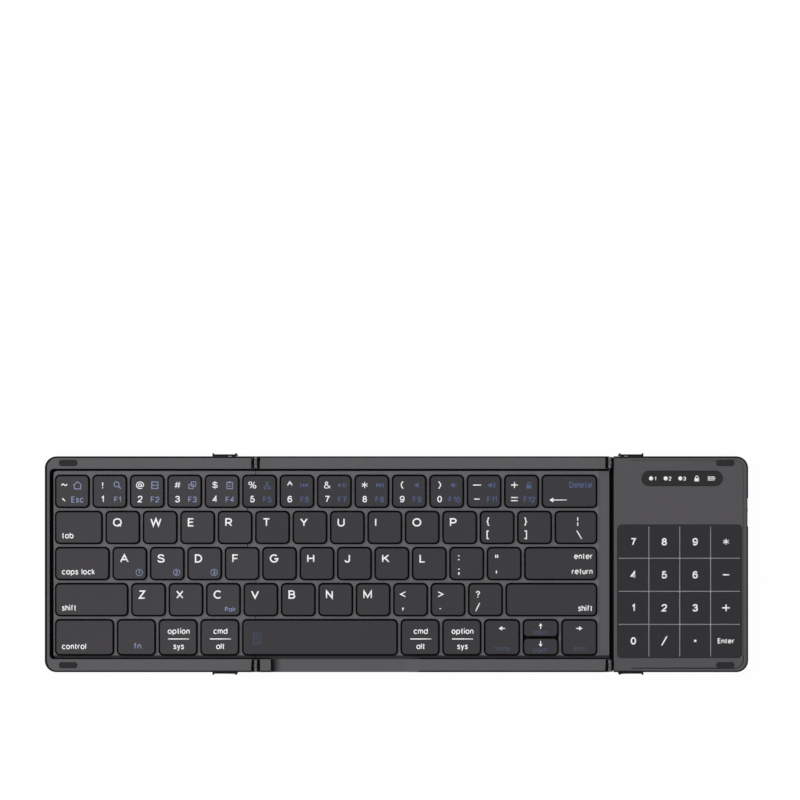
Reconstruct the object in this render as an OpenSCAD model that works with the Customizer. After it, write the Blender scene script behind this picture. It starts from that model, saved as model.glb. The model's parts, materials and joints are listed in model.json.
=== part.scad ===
// Tri-fold wireless keyboard with a touch number pad.
// +X runs to the right, +Y to the rear and +Z up; the origin is the middle of the
// footprint, on the surface that the feet rest on. The keyboard is drawn open and flat.

/* [Panels] */
// Width of the open keyboard
open_w = 319.4; // [318.6:0.02:384]
// Depth of the panels from front to rear
panel_d = 98.0; // [98:0.1:118]
// Thickness of a panel without its feet
panel_t = 8.0; // [7.6:0.1:10]
// Distance from the left side of the fifth number slot to the left fold axis
fold_inset = 6.78; // [6:0.02:7]
// Distance from the key field to the right fold axis
field_right = 5.02; // [4.6:0.02:8]
// Radius of the outer corners
corner_r = 5.3; // [3:0.1:7]
// Bevel of the upper outer edge
edge_bevel = 0.6; // [0.2:0.1:0.7]
// Wall of the mouldings
wall = 1.2; // [1:0.1:1.4]
// Floor of the bottom covers
floor_t = 1.0; // [0.8:0.1:1.2]

/* [Key deck] */
// Width of the rear rail
rear_rail = 5.6; // [5:0.1:8]
// Width of the front rail
front_rail = 5.9; // [5:0.1:8]
// Width of the rim at the left edge
side_rim = 2.2; // [1.5:0.1:4]
// Depth of the key deck below the rails
deck_drop = 2.2; // [1.8:0.1:2.4]
// Thickness of the key deck
deck_t = 1.2; // [1:0.1:1.5]
// Width of the groove between the deck and the rear rail
deck_groove = 1.0; // [0.4:0.1:1.2]
// Width of the groove between the deck and the left rim
side_groove = 1.7; // [0.4:0.1:1.7]
// Width of the groove between the deck and the front rail
front_groove = 0.4; // [0.2:0.1:0.6]
// Depth of the grooves
groove_deep = 0.6; // [0.3:0.1:0.8]

/* [Keys] */
// Spacing of the letter keys along a row
key_pitch = 17.0; // [14:0.01:17.1]
// Spacing of the rows
row_pitch = 16.4; // [13.6:0.05:16.6]
// Depth of the front row, which is a little deeper
front_row = 17.8; // [15:0.1:18]
// Strip of deck between the left groove and the key field
left_margin = 0.1; // [0.1:0.1:3]
// Strip of deck between the rear groove and the key field
rear_margin = 1.1; // [0.3:0.1:3]
// How much wider than a letter key the tab key is
tab_extra = 5.9; // [5:0.1:6.2]
// How much wider than a letter key the capitals lock key is
caps_extra = 9.1; // [8.5:0.1:9.8]
// How much wider than two letter keys the left shift key is
shift_extra = 0.6; // [0:0.1:1.4]
// How much wider than a letter key each modifier key is
modifier_extra = 1.95; // [0:0.05:2.5]
// How much wider than four letter keys the space bar is
space_extra = 4.0; // [1:0.1:5]
// How much wider than a letter key each arrow key is
arrow_extra = 0.55; // [0:0.05:0.8]
// How much wider than fourteen letter keys the key field is
field_extra = 9.5; // [8:0.1:10]
// Deck web between two key openings
web = 1.2; // [0.9:0.1:1.6]
// Gap between a key and its opening
key_gap = 0.4; // [0.2:0.05:0.6]
// Height of the key tops over the deck
key_rise = 1.9; // [1.5:0.1:2]
// Travel of a key
key_travel = 1.4; // [1:0.1:1.5]
// Corner radius of a key
key_r = 1.8; // [1:0.1:2.5]
// Wall of a key
key_wall = 0.9; // [0.7:0.1:1]
// Thickness of a key's top
key_top_t = 1.1; // [0.9:0.1:1.2]
// Height of the bars that mark the F and the J key for the fingers
home_bar_h = 0.2; // [0.1:0.05:0.3]

/* [Hinges] */
// Height of the fold axes over the rails
axis_rise = 0.15; // [0.1:0.01:0.3]
// Outer radius of the hinge barrels
barrel_r = 1.3; // [1.05:0.05:1.6]
// Gap on both sides of a hinge barrel
hinge_gap = 0.65; // [0.3:0.05:0.7]
// Radius of the hinge pins
pin_r = 0.55; // [0.4:0.05:0.8]
// Clearance of a pin in the turning knuckle
pin_play = 0.05; // [0.02:0.01:0.1]
// Thickness of a hinge leaf
leaf_t = 1.0; // [0.8:0.1:1.2]
// Length of a hinge leaf
leaf_len = 6.2; // [5:0.1:8]
// Gap beside the right fold, which the dark hinge strip closes
right_gap = 1.85; // [1.7:0.05:2.5]

/* [Touch number pad] */
// Width of the pad
pad_w = 56.7; // [40:0.1:57]
// Depth of the pad
pad_d = 60.6; // [50:0.1:62]
// Distance from the pad to the right edge
pad_right = 2.75; // [2.7:0.05:4]
// Distance from the pad to the front edge
pad_front = 6.45; // [5:0.05:9]
// Thickness of the pad
pad_t = 1.0; // [0.7:0.1:1.2]
// Width of the indicator window
window_w = 37.0; // [30:0.5:40]
// Depth of the indicator window
window_d = 7.0; // [5:0.1:8]

/* [Feet and stands] */
// Height of the feet under the bottom covers
foot_h = 0.6; // [0.4:0.1:1]
// Length of a rubber foot
foot_len = 12.0; // [8:0.5:16]
// Width of a rubber foot
foot_w = 4.0; // [3:0.1:5]
// Width of a folding stand along the keyboard
stand_w = 11.6; // [10:0.1:13]
// Thickness of a stand's bar
stand_t = 0.95; // [0.8:0.05:1]
// Distance from the left fold axis to its stand
left_stand_at = 8.2; // [8:0.1:12]
// Distance from the right fold axis to its stand
right_stand_at = 3.9; // [3.8:0.1:8]

/* [Power switch and socket] */
// Length of the recess round the power switch
switch_recess = 12.8; // [9:0.1:14]
// Travel of the power switch
switch_travel = 2.0; // [1:0.1:3]
// Width of the charging socket
socket_w = 8.94; // [8.94:0.02:9]
// Height of the charging socket
socket_h = 3.26; // [3.2:0.02:3.3]

/* [Hidden] */
$fn = 48;
body_grey = [0.33, 0.325, 0.335];
cover_grey = [0.20, 0.20, 0.205];
key_grey = [0.25, 0.245, 0.255];
pad_black = [0.12, 0.12, 0.125];
rubber_black = [0.06, 0.06, 0.06];
steel = [0.55, 0.55, 0.57];
eps = 0.01;
far = 400;

// Levels, from the desk up
bottom_z = foot_h;
floor_z = bottom_z + floor_t;
rail_z = bottom_z + panel_t;
deck_z = rail_z - deck_drop;
deck_low = deck_z - deck_t;
axis_z = rail_z + axis_rise;
key_top_z = deck_z + key_rise;
skirt_h = 2.9;
skirt_z = key_top_z - skirt_h;
well_z = skirt_z - key_travel - 0.2;
under_key_z = key_top_z - key_top_t;
membrane_z = well_z - 0.5;
membrane_t = 0.3;
plate_t = 0.4;
plate_z = membrane_z - membrane_t - plate_t;
// The top and the bottom mouldings meet a little over the contact sheet
parting_z = membrane_z + 1.0;
parting_gap = 0.05;

// Key widths
tab_w = key_pitch + tab_extra;
caps_w = key_pitch + caps_extra;
left_shift_w = 2 * key_pitch + shift_extra;
modifier_w = key_pitch + modifier_extra;
space_w = 4 * key_pitch + space_extra;
arrow_w = key_pitch + arrow_extra;
field_w = 14 * key_pitch + field_extra;
// The space bar begins this much left of the fifth number slot
space_lead = 0.05;
control_w = 5 * key_pitch - space_lead - 3 * modifier_w;

// Places along the keyboard
left_x = -open_w / 2;
right_x = open_w / 2;
deck_left = left_x + side_rim;
field_left = deck_left + side_groove + left_margin;
fold_l = field_left + 5 * key_pitch + fold_inset;
fold_r = field_left + field_w + field_right;
rear_y = panel_d / 2;
front_y = -panel_d / 2;
seam = 0.1;
rail_notch = barrel_r + hinge_gap;
deck_rear = rear_y - rear_rail;
deck_front = front_y + front_rail;

// Key field
field_top = deck_rear - deck_groove - rear_margin;
function repeat(width, count) = [for (i = [1:count]) width];
function total(list, count) = count <= 0 ? 0 : list[count - 1] + total(list, count - 1);
function closed(list) = concat(list, [field_w - total(list, len(list))]);
ROWS = [
    closed(repeat(key_pitch, 13)),
    closed(concat([tab_w], repeat(key_pitch, 12))),
    closed(concat([caps_w], repeat(key_pitch, 11))),
    closed(concat([left_shift_w], repeat(key_pitch, 10))),
    closed(concat([control_w], repeat(modifier_w, 3), [space_w], repeat(modifier_w, 2),
                  repeat(arrow_w, 2)))
];
// Keys of each row that ride on the left panel
LEFT_COUNT = [5, 5, 5, 4, 4];
// The slot of the front row that holds the up and the down arrow
SPLIT_ROW = 4;
SPLIT_SLOT = 8;
SPLIT_GAP = 0.6;
// The keys with a bar for the fingers
HOME_ROW = 2;
F_SLOT = 4;
J_SLOT = 7;
// The space bar
SPACE_ROW = 4;
SPACE_SLOT = 4;
function row_top(row) = field_top - row * row_pitch;
function row_depth(row) = row == 4 ? front_row : row_pitch;
function slot_left(row, slot) = field_left + total(ROWS[row], slot);
function slot_mid(row, slot) = slot_left(row, slot) + ROWS[row][slot] / 2;
function row_mid(row) = row_top(row) - row_depth(row) / 2;

// Seam round the left fold axis. In the bowl rows the middle panel's keys stand over the
// left panel, on a round tongue that turns in a round bowl. The bowl clears the lower corner
// of the space bar, which reaches furthest from the axis.
BOWL_ROWS = [0, 3, 4];
bowl_play = 0.37;
bowl_r = norm([fold_inset + space_lead - web / 2 - key_gap, axis_z - skirt_z]) + bowl_play;
bowl_gap = 0.25;
bowl_wall = 1.3;
// In the other rows the middle panel's deck reaches this far over the left panel
web_reach = 3.67;
low_wall_z = membrane_z;
// Rib on the middle panel's seam wall that keeps light and crumbs out of the seam
rib_reach = 0.3;
rib_z = floor_z + 0.4;
rib_t = 0.4;
rib_play = 0.12;

// Finger scoop in the front rail
scoop_left = fold_l + leaf_len + 0.65;
scoop_flat = 59;
scoop_ramp = 8.8;

// Key groups: name, row, first slot, last slot
KEYS = [
    ["number_keys_left", 0, 0, 4],
    ["number_keys_center", 0, 5, 10],
    ["minus_equals_keys", 0, 11, 12],
    ["backspace_key", 0, 13, 13],
    ["tab_key", 1, 0, 0],
    ["letter_keys_qwer", 1, 1, 4],
    ["letter_keys_tyuiop", 1, 5, 10],
    ["bracket_keys", 1, 11, 13],
    ["caps_lock_key", 2, 0, 0],
    ["letter_keys_asdf", 2, 1, 4],
    ["letter_keys_ghjkl", 2, 5, 9],
    ["semicolon_quote_keys", 2, 10, 11],
    ["enter_key", 2, 12, 12],
    ["left_shift_key", 3, 0, 0],
    ["letter_keys_zxc", 3, 1, 3],
    ["letter_keys_vbnm", 3, 4, 7],
    ["comma_period_slash_keys", 3, 8, 10],
    ["right_shift_key", 3, 11, 11],
    ["control_key", 4, 0, 0],
    ["modifier_keys_left", 4, 1, 3],
    ["space_bar", 4, 4, 4],
    ["modifier_keys_center", 4, 5, 6],
    ["left_arrow_key", 4, 7, 7],
    ["up_arrow_key", 4, 8, 8],
    ["down_arrow_key", 4, 8, 8],
    ["right_arrow_key", 4, 9, 9]
];

// ---------- shared shapes ----------

module round_rect(w, d, r) {
    square([w - 2 * r, d], center = true);
    square([w, d - 2 * r], center = true);
    for (sx = [-1, 1], sy = [-1, 1])
        translate([sx * (w / 2 - r), sy * (d / 2 - r)]) circle(r);
}

// A block with upright round corners, whose upper and lower edges are bevelled
module bevel_block(w, d, h, r, top, low = 0) {
    edge = [[0, 0], [r - low, 0], [r, low], [r, h - top], [r - top, h], [0, h]];
    translate([-w / 2 + r, -d / 2 + r, 0]) cube([w - 2 * r, d - 2 * r, h]);
    for (sx = [-1, 1], sy = [-1, 1])
        translate([sx * (w / 2 - r), sy * (d / 2 - r), 0]) rotate_extrude() polygon(edge);
    for (turn = [0, 180]) {
        rotate([0, 0, turn]) translate([w / 2 - r, d / 2 - r, 0])
            rotate([90, 0, 0]) linear_extrude(d - 2 * r) polygon(edge);
        rotate([0, 0, turn]) translate([-w / 2 + r, d / 2 - r, 0])
            rotate([90, 0, 90]) linear_extrude(w - 2 * r) polygon(edge);
    }
}

module x_slice(x0, x1) {
    intersection() {
        children();
        translate([x0, -far, -far]) cube([x1 - x0, 2 * far, 2 * far]);
    }
}

module box(x0, x1, y0, y1, z0, z1) {
    translate([x0, y0, z0]) cube([x1 - x0, y1 - y0, z1 - z0]);
}

// A round bar along Y about a fold axis
module y_bar(x, z, r, y0, y1) {
    translate([x, y1, z]) rotate([90, 0, 0]) cylinder(r = r, h = y1 - y0);
}

module upper_shell() {
    translate([0, 0, parting_z + parting_gap])
        bevel_block(open_w, panel_d, rail_z - parting_z - parting_gap, corner_r, edge_bevel);
}

module lower_shell() {
    translate([0, 0, bottom_z])
        bevel_block(open_w, panel_d, parting_z - parting_gap - bottom_z, corner_r, 0.15, 0.8);
}

// The outline inside the walls, a gap further in
module inset_block(gap, low, high) {
    inset = wall + gap;
    translate([0, 0, low]) linear_extrude(high - low)
        round_rect(open_w - 2 * inset, panel_d - 2 * inset, corner_r - inset);
}

// ---------- keys ----------

module at_slot(row, slot) {
    translate([slot_mid(row, slot), row_mid(row), 0]) children();
}

module key_well(row, slot) {
    at_slot(row, slot) translate([0, 0, well_z]) linear_extrude(far)
        round_rect(ROWS[row][slot] - web, row_depth(row) - web, key_r + key_gap);
}

module key_wells() {
    for (row = [0:4], slot = [0:len(ROWS[row]) - 1]) key_well(row, slot);
}

module keycap(w, d) {
    difference() {
        translate([0, 0, skirt_z]) bevel_block(w, d, key_top_z - skirt_z, key_r, 0.35);
        translate([0, 0, skirt_z - eps]) linear_extrude(under_key_z - skirt_z + eps)
            round_rect(w - 2 * key_wall, d - 2 * key_wall, key_r - key_wall / 2);
    }
}

function cap_w(row, slot) = ROWS[row][slot] - web - 2 * key_gap;
function cap_d(row) = row_depth(row) - web - 2 * key_gap;
half_cap = (cap_d(SPLIT_ROW) - SPLIT_GAP) / 2;

module key_group(k) {
    row = k[1];
    color(key_grey) for (slot = [k[2]:k[3]]) at_slot(row, slot)
        if (k[0] == "up_arrow_key")
            translate([0, (half_cap + SPLIT_GAP) / 2, 0]) keycap(cap_w(row, slot), half_cap);
        else if (k[0] == "down_arrow_key")
            translate([0, -(half_cap + SPLIT_GAP) / 2, 0]) keycap(cap_w(row, slot), half_cap);
        else {
            keycap(cap_w(row, slot), cap_d(row));
            if (row == HOME_ROW && (slot == F_SLOT || slot == J_SLOT)) home_bar();
        }
}

// Raised bar near the front of a key that the fingers feel
home_bar_w = 3.2;
home_bar_d = 0.45;
module home_bar() {
    translate([0, home_bar_d / 2 + 2 - cap_d(HOME_ROW) / 2, key_top_z - eps + (home_bar_h + eps) / 2])
        cube([home_bar_w, home_bar_d, home_bar_h + eps], center = true);
}

// Two crossed link frames under a key
link_len = key_pitch - 7.4;
link_t = 0.6;
link_bar = 0.9;
link_play = 0.2;
link_lean = asin((under_key_z - membrane_z - 0.35 - link_t) / link_len);
module scissor(depth, bar) {
    mid_z = (under_key_z + membrane_z) / 2;
    inner_d = depth - 2 * bar - 2 * link_play;
    translate([0, 0, mid_z]) {
        rotate([0, link_lean, 0]) link_frame(depth, bar);
        rotate([0, -link_lean, 0]) link_frame(inner_d, bar);
    }
}

module link_frame(depth, bar) {
    difference() {
        cube([link_len, depth, link_t], center = true);
        cube([link_len - 2 * link_bar, depth - 2 * bar, 2 * link_t], center = true);
    }
}

// A rubber dome that springs a key back
module dome(r) {
    rise = under_key_z - membrane_z - 0.2;
    translate([0, 0, membrane_z - eps]) rotate_extrude()
        polygon([[0, 0], [r, 0], [r, 0.4], [0.62 * r, rise - 0.3], [0.5 * r, rise], [0, rise]]);
}

// Where the scissors and domes of one slot stand: offset along X and Y, depth and width of
// the link frames' bars, and radius of the dome
FULL_SUPPORT = [cap_d(0) - 3.4, 0.9, 2.5];
HALF_SUPPORT = [half_cap - 2.2, 0.45, 1.3];
function supports(row, slot) =
    row == SPLIT_ROW && slot == SPLIT_SLOT
        ? [for (s = [-1, 1]) concat([0, s * (half_cap + SPLIT_GAP) / 2], HALF_SUPPORT)]
    : row == SPACE_ROW && slot == SPACE_SLOT
        ? [for (s = [-1, 0, 1]) concat([s * space_w / 3, 0], FULL_SUPPORT)]
    : [concat([0, 0], FULL_SUPPORT)];

module each_support(first_row_slot, last_row_slot) {
    for (row = [0:4], slot = [first_row_slot[row]:last_row_slot[row]])
        for (s = supports(row, slot)) translate([slot_mid(row, slot) + s[0], row_mid(row) + s[1], 0]) {
            $link_depth = s[2];
            $link_side = s[3];
            $dome_r = s[4];
            children();
        }
}

LEFT_FIRST = [0, 0, 0, 0, 0];
LEFT_LAST = [for (n = LEFT_COUNT) n - 1];
RIGHT_LAST = [for (r = ROWS) len(r) - 1];

// ---------- seam between the left and the middle panel ----------

function band_top(row) = row_top(row) - (row == 0 ? -web / 2 : web / 2);
function band_low(row) = row_top(row) - row_depth(row) + web / 2;

module bowls(r, grow, low = -far, high = far) {
    intersection() {
        for (row = BOWL_ROWS) y_bar(fold_l, axis_z, r, band_low(row) - grow, band_top(row) + grow);
        translate([-far, -far, low]) cube([2 * far, 2 * far, high - low]);
    }
}

// Solid wall that follows the bowls inside the left panel
module bowl_walls(low, high) {
    difference() {
        x_slice(fold_l - 2 * bowl_r, fold_l - seam) bowls(bowl_r + bowl_wall, wall / 2, low, high);
        bowls(bowl_r, 0);
    }
}

// Room that the middle panel's deck web needs in the left panel
module web_room(grow) {
    box(fold_l - web_reach - grow, fold_l + 1, row_top(2) - web / 2 - 2 * grow,
        row_top(1) + web / 2 + 2 * grow, low_wall_z, far);
}

module rail_notches() {
    for (x = [fold_l, fold_r]) {
        box(x - rail_notch, x + rail_notch, deck_rear + 0.1, far, axis_z - rail_notch, far);
        box(x - rail_notch, x + rail_notch, -far, deck_front - 0.1, axis_z - rail_notch, far);
    }
}

// ---------- hinges ----------

knuckle_gap = 0.1;
function rail_mid(side) = side > 0 ? (rear_y + deck_rear) / 2 : (front_y + deck_front) / 2;
function rail_len(side) = side > 0 ? rear_rail : front_rail;
leaf_cover = 0.6;
leaf_z = rail_z - leaf_cover - leaf_t;
peg_r = 0.65;
peg_inset = 1.9;
peg_apart = 2.6;

// Two pegs side by side near the far end of a leaf
module at_pegs(x, side, dir) {
    for (dy = [-1, 1] * peg_apart / 2)
        translate([x + dir * (leaf_len - peg_inset), rail_mid(side) + dy, 0]) children();
}

// A leaf with its knuckles; dir is the side of the axis it lies on
module leaf(x, side, dir, outer, bore) {
    len = rail_len(side) - 0.5;
    third = len / 3;
    low_y = rail_mid(side) - len / 2;
    spans = outer ? [[0, third - knuckle_gap / 2], [2 * third + knuckle_gap / 2, len]]
                  : [[third + knuckle_gap / 2, 2 * third - knuckle_gap / 2]];
    difference() {
        union() {
            for (s = spans) {
                y_bar(x, axis_z, barrel_r, low_y + s[0], low_y + s[1]);
                box(dir > 0 ? x : x - rail_notch, dir > 0 ? x + rail_notch : x,
                    low_y + s[0], low_y + s[1], leaf_z, leaf_z + leaf_t);
            }
            box(dir > 0 ? x + rail_notch - 0.15 : x - leaf_len,
                dir > 0 ? x + leaf_len : x - rail_notch + 0.15,
                low_y, low_y + len, leaf_z, leaf_z + leaf_t);
        }
        y_bar(x, axis_z, bore, low_y - 1, low_y + len + 1);
        at_pegs(x, side, dir) cylinder(r = peg_r + 0.05, h = far);
    }
}

// Pocket for a leaf inside the frame, with the pegs that hold it
module leaf_pocket(x, side, dir) {
    len = rail_len(side) - 0.5;
    difference() {
        box(dir > 0 ? x : x - leaf_len - 0.05, dir > 0 ? x + leaf_len + 0.05 : x,
            rail_mid(side) - len / 2 - 0.05, rail_mid(side) + len / 2 + 0.05,
            leaf_z - 0.05, leaf_z + leaf_t + 0.05);
        at_pegs(x, side, dir) cylinder(r = peg_r, h = far);
    }
}

module hinge_leaves(x, dir, outer, bore) {
    color(steel) for (side = [-1, 1]) leaf(x, side, dir, outer, bore);
}

module hinge_pins(x) {
    color(steel) for (side = [-1, 1])
        y_bar(x, axis_z, pin_r, rail_mid(side) - rail_len(side) / 2 + 0.3,
              rail_mid(side) + rail_len(side) / 2 - 0.3);
}

// ---------- middle panel ----------

// Sunk deck between the rails, with the grooves at its edges
module deck_recess(x0, x1, left_rim) {
    mid_x = (x0 + x1) / 2;
    mid_y = (deck_rear + deck_front) / 2;
    deck_d = deck_rear - deck_front;
    side = left_rim ? side_groove : 0;
    translate([mid_x, mid_y, deck_z]) linear_extrude(far) round_rect(x1 - x0, deck_d, 2);
    difference() {
        translate([mid_x, mid_y, deck_z - groove_deep]) linear_extrude(far) round_rect(x1 - x0, deck_d, 2);
        translate([mid_x + side / 2, mid_y + (front_groove - deck_groove) / 2, 0]) linear_extrude(far)
            round_rect(x1 - x0 - side, deck_d - deck_groove - front_groove, 1.6);
        // the finger scoop runs straight on into the deck
        box(scoop_left, scoop_left + scoop_flat + scoop_ramp, front_y, deck_front + front_groove, 0, deck_z);
    }
}

module middle_inside(low, high, cut_x) {
    box(fold_l + seam + cut_x, fold_r - seam - cut_x, front_y + wall, rear_y - wall, low, high);
}

module center_top_frame() {
    color(body_grey) difference() {
        union() {
            x_slice(fold_l + seam, fold_r - seam) upper_shell();
            intersection() {
                upper_shell();
                box(fold_l - web_reach + seam, fold_l + 1, row_top(2) - web / 2,
                    row_top(1) + web / 2, deck_low, deck_z);
            }
        }
        deck_recess(fold_l - 30, fold_r + 30, false);
        middle_inside(parting_z, deck_low, wall);
        key_wells();
        rail_notches();
        scoop();
        for (side = [-1, 1]) {
            leaf_pocket(fold_l, side, 1);
            leaf_pocket(fold_r, side, -1);
        }
        flex_slot();
    }
}

module scoop() {
    ramp_r = (scoop_ramp * scoop_ramp + deck_drop * deck_drop) / (2 * deck_drop);
    box(scoop_left, scoop_left + scoop_flat, front_y - 1, deck_front + eps, deck_z, far);
    x_slice(scoop_left + scoop_flat - eps, far)
        y_bar(scoop_left + scoop_flat, deck_z + ramp_r, ramp_r, front_y - 1, deck_front + eps);
}

// Slot under the deck web through which the flat cable crosses the seam
flex_w = 9;
flex_mid = row_mid(1);
module flex_slot() {
    box(fold_l - 2 * bowl_r + 6, fold_l + seam + wall + 0.2, flex_mid - flex_w / 2 - 0.5,
        flex_mid + flex_w / 2 + 0.5, low_wall_z, deck_low - eps);
}

module center_bottom_cover() {
    color(cover_grey) difference() {
        union() {
            difference() {
                x_slice(fold_l + seam, fold_r - seam) lower_shell();
                middle_inside(floor_z, far, wall);
            }
            // tongues that carry the keys standing over the left panel
            x_slice(fold_l - bowl_r, fold_l + seam + wall)
                bowls(bowl_r - bowl_gap, -0.2, floor_z + 0.05, plate_z + plate_t);
            plate_posts(PLATE_POSTS_CENTER);
            seam_rib(0);
        }
        key_wells();
        flex_slot();
        tongue_tops();
        foot_pockets(CENTER_FEET);
    }
}

module seam_rib(play) {
    box(fold_l - rib_reach - play, fold_l + seam + eps, front_y + 1 - play, rear_y - 1 + play,
        rib_z - play, rib_z + rib_t + play);
}

// Flat tops of the tongues, on which the dome sheet runs on over the seam wall
module tongue_tops() {
    for (row = BOWL_ROWS)
        box(fold_l - bowl_r, fold_l + seam + wall + 0.5, band_low(row) + 0.3, band_top(row) - 0.3,
            plate_z + plate_t, far);
}

plate_post_r = 1.6;
PLATE_POSTS_CENTER = [for (x = [fold_l + 14, (fold_l + fold_r) / 2, fold_r - 10],
                           y = [row_top(1), row_top(3)]) [x, y]];
PLATE_POSTS_LEFT = [for (x = [left_x + 12, fold_l - 14], y = [row_top(1), row_top(3)]) [x, y]];
module plate_posts(list) {
    for (p = list) translate([p[0], p[1], floor_z - eps])
        cylinder(r = plate_post_r, h = plate_z - floor_z + eps);
}

module center_switch_plate() {
    color(steel) difference() {
        box(fold_l + seam + wall + 0.1, fold_r - seam - wall - 0.1, front_y + wall + 0.3,
            rear_y - wall - 0.3, plate_z, plate_z + plate_t);
        for (p = PLATE_POSTS_CENTER) translate([p[0], p[1], 0]) cylinder(r = 0.8, h = far);
    }
}

module center_dome_sheet() {
    color(rubber_black) {
        box(fold_l + seam + wall + 0.2, fold_r - seam - wall - 0.2, front_y + wall + 0.4,
            rear_y - wall - 0.4, membrane_z - membrane_t, membrane_z);
        for (row = BOWL_ROWS)
            box(fold_l - 2.6, fold_l + seam + wall + 0.3, band_low(row) + 0.6, band_top(row) - 0.6,
                membrane_z - membrane_t, membrane_z);
        each_support(LEFT_COUNT, RIGHT_LAST) dome($dome_r);
    }
}

module center_key_scissors() {
    color("white") each_support(LEFT_COUNT, RIGHT_LAST) scissor($link_depth, $link_side);
}

// ---------- left panel ----------

module left_inside(low, high) {
    x_slice(left_x, fold_l - seam - wall) inset_block(0, low, high);
}

module left_top_frame() {
    color(body_grey) difference() {
        union() {
            difference() {
                x_slice(left_x - 1, fold_l - seam) upper_shell();
                left_inside(parting_z, deck_low);
                bowls(bowl_r, 0, -far, deck_low);
            }
            bowl_walls(parting_z + parting_gap, deck_low + eps);
        }
        deck_recess(deck_left, fold_l + 30, true);
        key_wells();
        web_room(seam);
        rail_notches();
        for (side = [-1, 1]) leaf_pocket(fold_l, side, -1);
        for (y = bumper_y) bumper_pocket(left_bumper_x, y);
    }
}

module left_bottom_cover() {
    color(cover_grey) difference() {
        union() {
            difference() {
                x_slice(left_x - 1, fold_l - seam) lower_shell();
                left_inside(floor_z, far);
                bowls(bowl_r, 0, floor_z);
            }
            bowl_walls(floor_z - eps, parting_z - parting_gap);
            plate_posts(PLATE_POSTS_LEFT);
            stand_bed(fold_l - left_stand_at, -1);
        }
        key_wells();
        flex_slot();
        web_room(seam);
        seam_rib(rib_play);
        foot_pockets(LEFT_FEET);
        stand_room(fold_l - left_stand_at, -1);
        thumb_notch(fold_l - left_stand_at, -1);
    }
}

module left_switch_plate() {
    color(steel) difference() {
        x_slice(left_x, fold_l - seam - wall - 0.1) inset_block(0.3, plate_z, plate_z + plate_t);
        bowls(bowl_r + bowl_wall + 0.1, wall / 2 + 0.1);
        for (p = PLATE_POSTS_LEFT) translate([p[0], p[1], 0]) cylinder(r = 0.8, h = far);
    }
}

module left_dome_sheet() {
    color(rubber_black) {
        difference() {
            x_slice(left_x, fold_l - seam - wall - 0.2)
                inset_block(0.4, membrane_z - membrane_t, membrane_z);
            bowls(bowl_r + bowl_wall + 0.2, wall / 2 + 0.2);
        }
        each_support(LEFT_FIRST, LEFT_LAST) dome($dome_r);
    }
}

module left_key_scissors() {
    color("white") each_support(LEFT_FIRST, LEFT_LAST) scissor($link_depth, $link_side);
}

// ---------- right panel ----------

right_left = fold_r + right_gap;
pad_x = right_x - pad_right - pad_w / 2;
pad_y = front_y + pad_front + pad_d / 2;
window_x = pad_x + 1.1;
window_y = rear_y - 10.0;

module right_inside(low, high) {
    x_slice(right_left + wall, right_x) inset_block(0, low, high);
}

module right_top_cover() {
    color(body_grey) difference() {
        x_slice(right_left, far) upper_shell();
        right_inside(parting_z, rail_z - 2.2);
        // pad and window seats with the openings under them
        translate([pad_x, pad_y, rail_z - pad_t]) linear_extrude(far) round_rect(pad_w, pad_d, 2);
        translate([pad_x, pad_y, parting_z]) linear_extrude(far)
            round_rect(pad_w - 2.4, pad_d - 2.4, 1.5);
        translate([window_x, window_y, rail_z - 0.8]) linear_extrude(far)
            round_rect(window_w, window_d, window_d / 2 - eps);
        translate([window_x, window_y, parting_z]) linear_extrude(far)
            round_rect(window_w - 2, window_d - 2, window_d / 2 - 1 - eps);
        // fine groove between the top and the edge band
        edge_groove();
        for (side = [-1, 1]) leaf_pocket(fold_r, side, 1);
        for (y = bumper_y) bumper_pocket(right_bumper_x, y);
        switch_opening();
        socket_opening();
    }
}

module edge_groove() {
    inset = 2.0;
    translate([0, 0, rail_z - 0.35]) difference() {
        x_slice(right_left + 8, far) linear_extrude(far)
            round_rect(open_w - 2 * inset, panel_d - 1.6 * inset, corner_r - 1);
        linear_extrude(far)
            round_rect(open_w - 2 * inset - 0.7, panel_d - 1.6 * inset - 0.7, corner_r - 1.3);
    }
}

module right_bottom_cover() {
    color(cover_grey) difference() {
        union() {
            difference() {
                x_slice(right_left, far) lower_shell();
                right_inside(floor_z, far);
            }
            stand_bed(fold_r + right_stand_at, 1);
            for (x = [board_x - board_w / 2 + 3, board_x + board_w / 2 - 3])
                translate([x, board_y - 8, floor_z - eps]) cylinder(r = 1.5, h = board_z - floor_z + eps);
        }
        switch_opening();
        socket_opening();
        foot_pockets(RIGHT_FEET);
        stand_room(fold_r + right_stand_at, 1);
        thumb_notch(fold_r + right_stand_at, 1);
    }
}

module touch_number_pad() {
    color(pad_black) translate([pad_x, pad_y, rail_z - pad_t]) linear_extrude(pad_t)
        round_rect(pad_w - 0.2, pad_d - 0.2, 1.9);
}

module touch_sensor_board() {
    color([0.1, 0.3, 0.2]) translate([pad_x, pad_y, rail_z - pad_t - 0.8]) linear_extrude(0.8)
        round_rect(pad_w - 2.8, pad_d - 2.8, 1.3);
}

module indicator_window() {
    color(pad_black) {
        translate([window_x, window_y, rail_z - 0.8]) linear_extrude(0.8)
            round_rect(window_w - 0.2, window_d - 0.2, window_d / 2 - 0.1 - eps);
        translate([window_x, window_y, rail_z - 1.8]) linear_extrude(1.0 + eps)
            round_rect(window_w - 2.4, window_d - 2.4, window_d / 2 - 1.2 - eps);
    }
}

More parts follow.
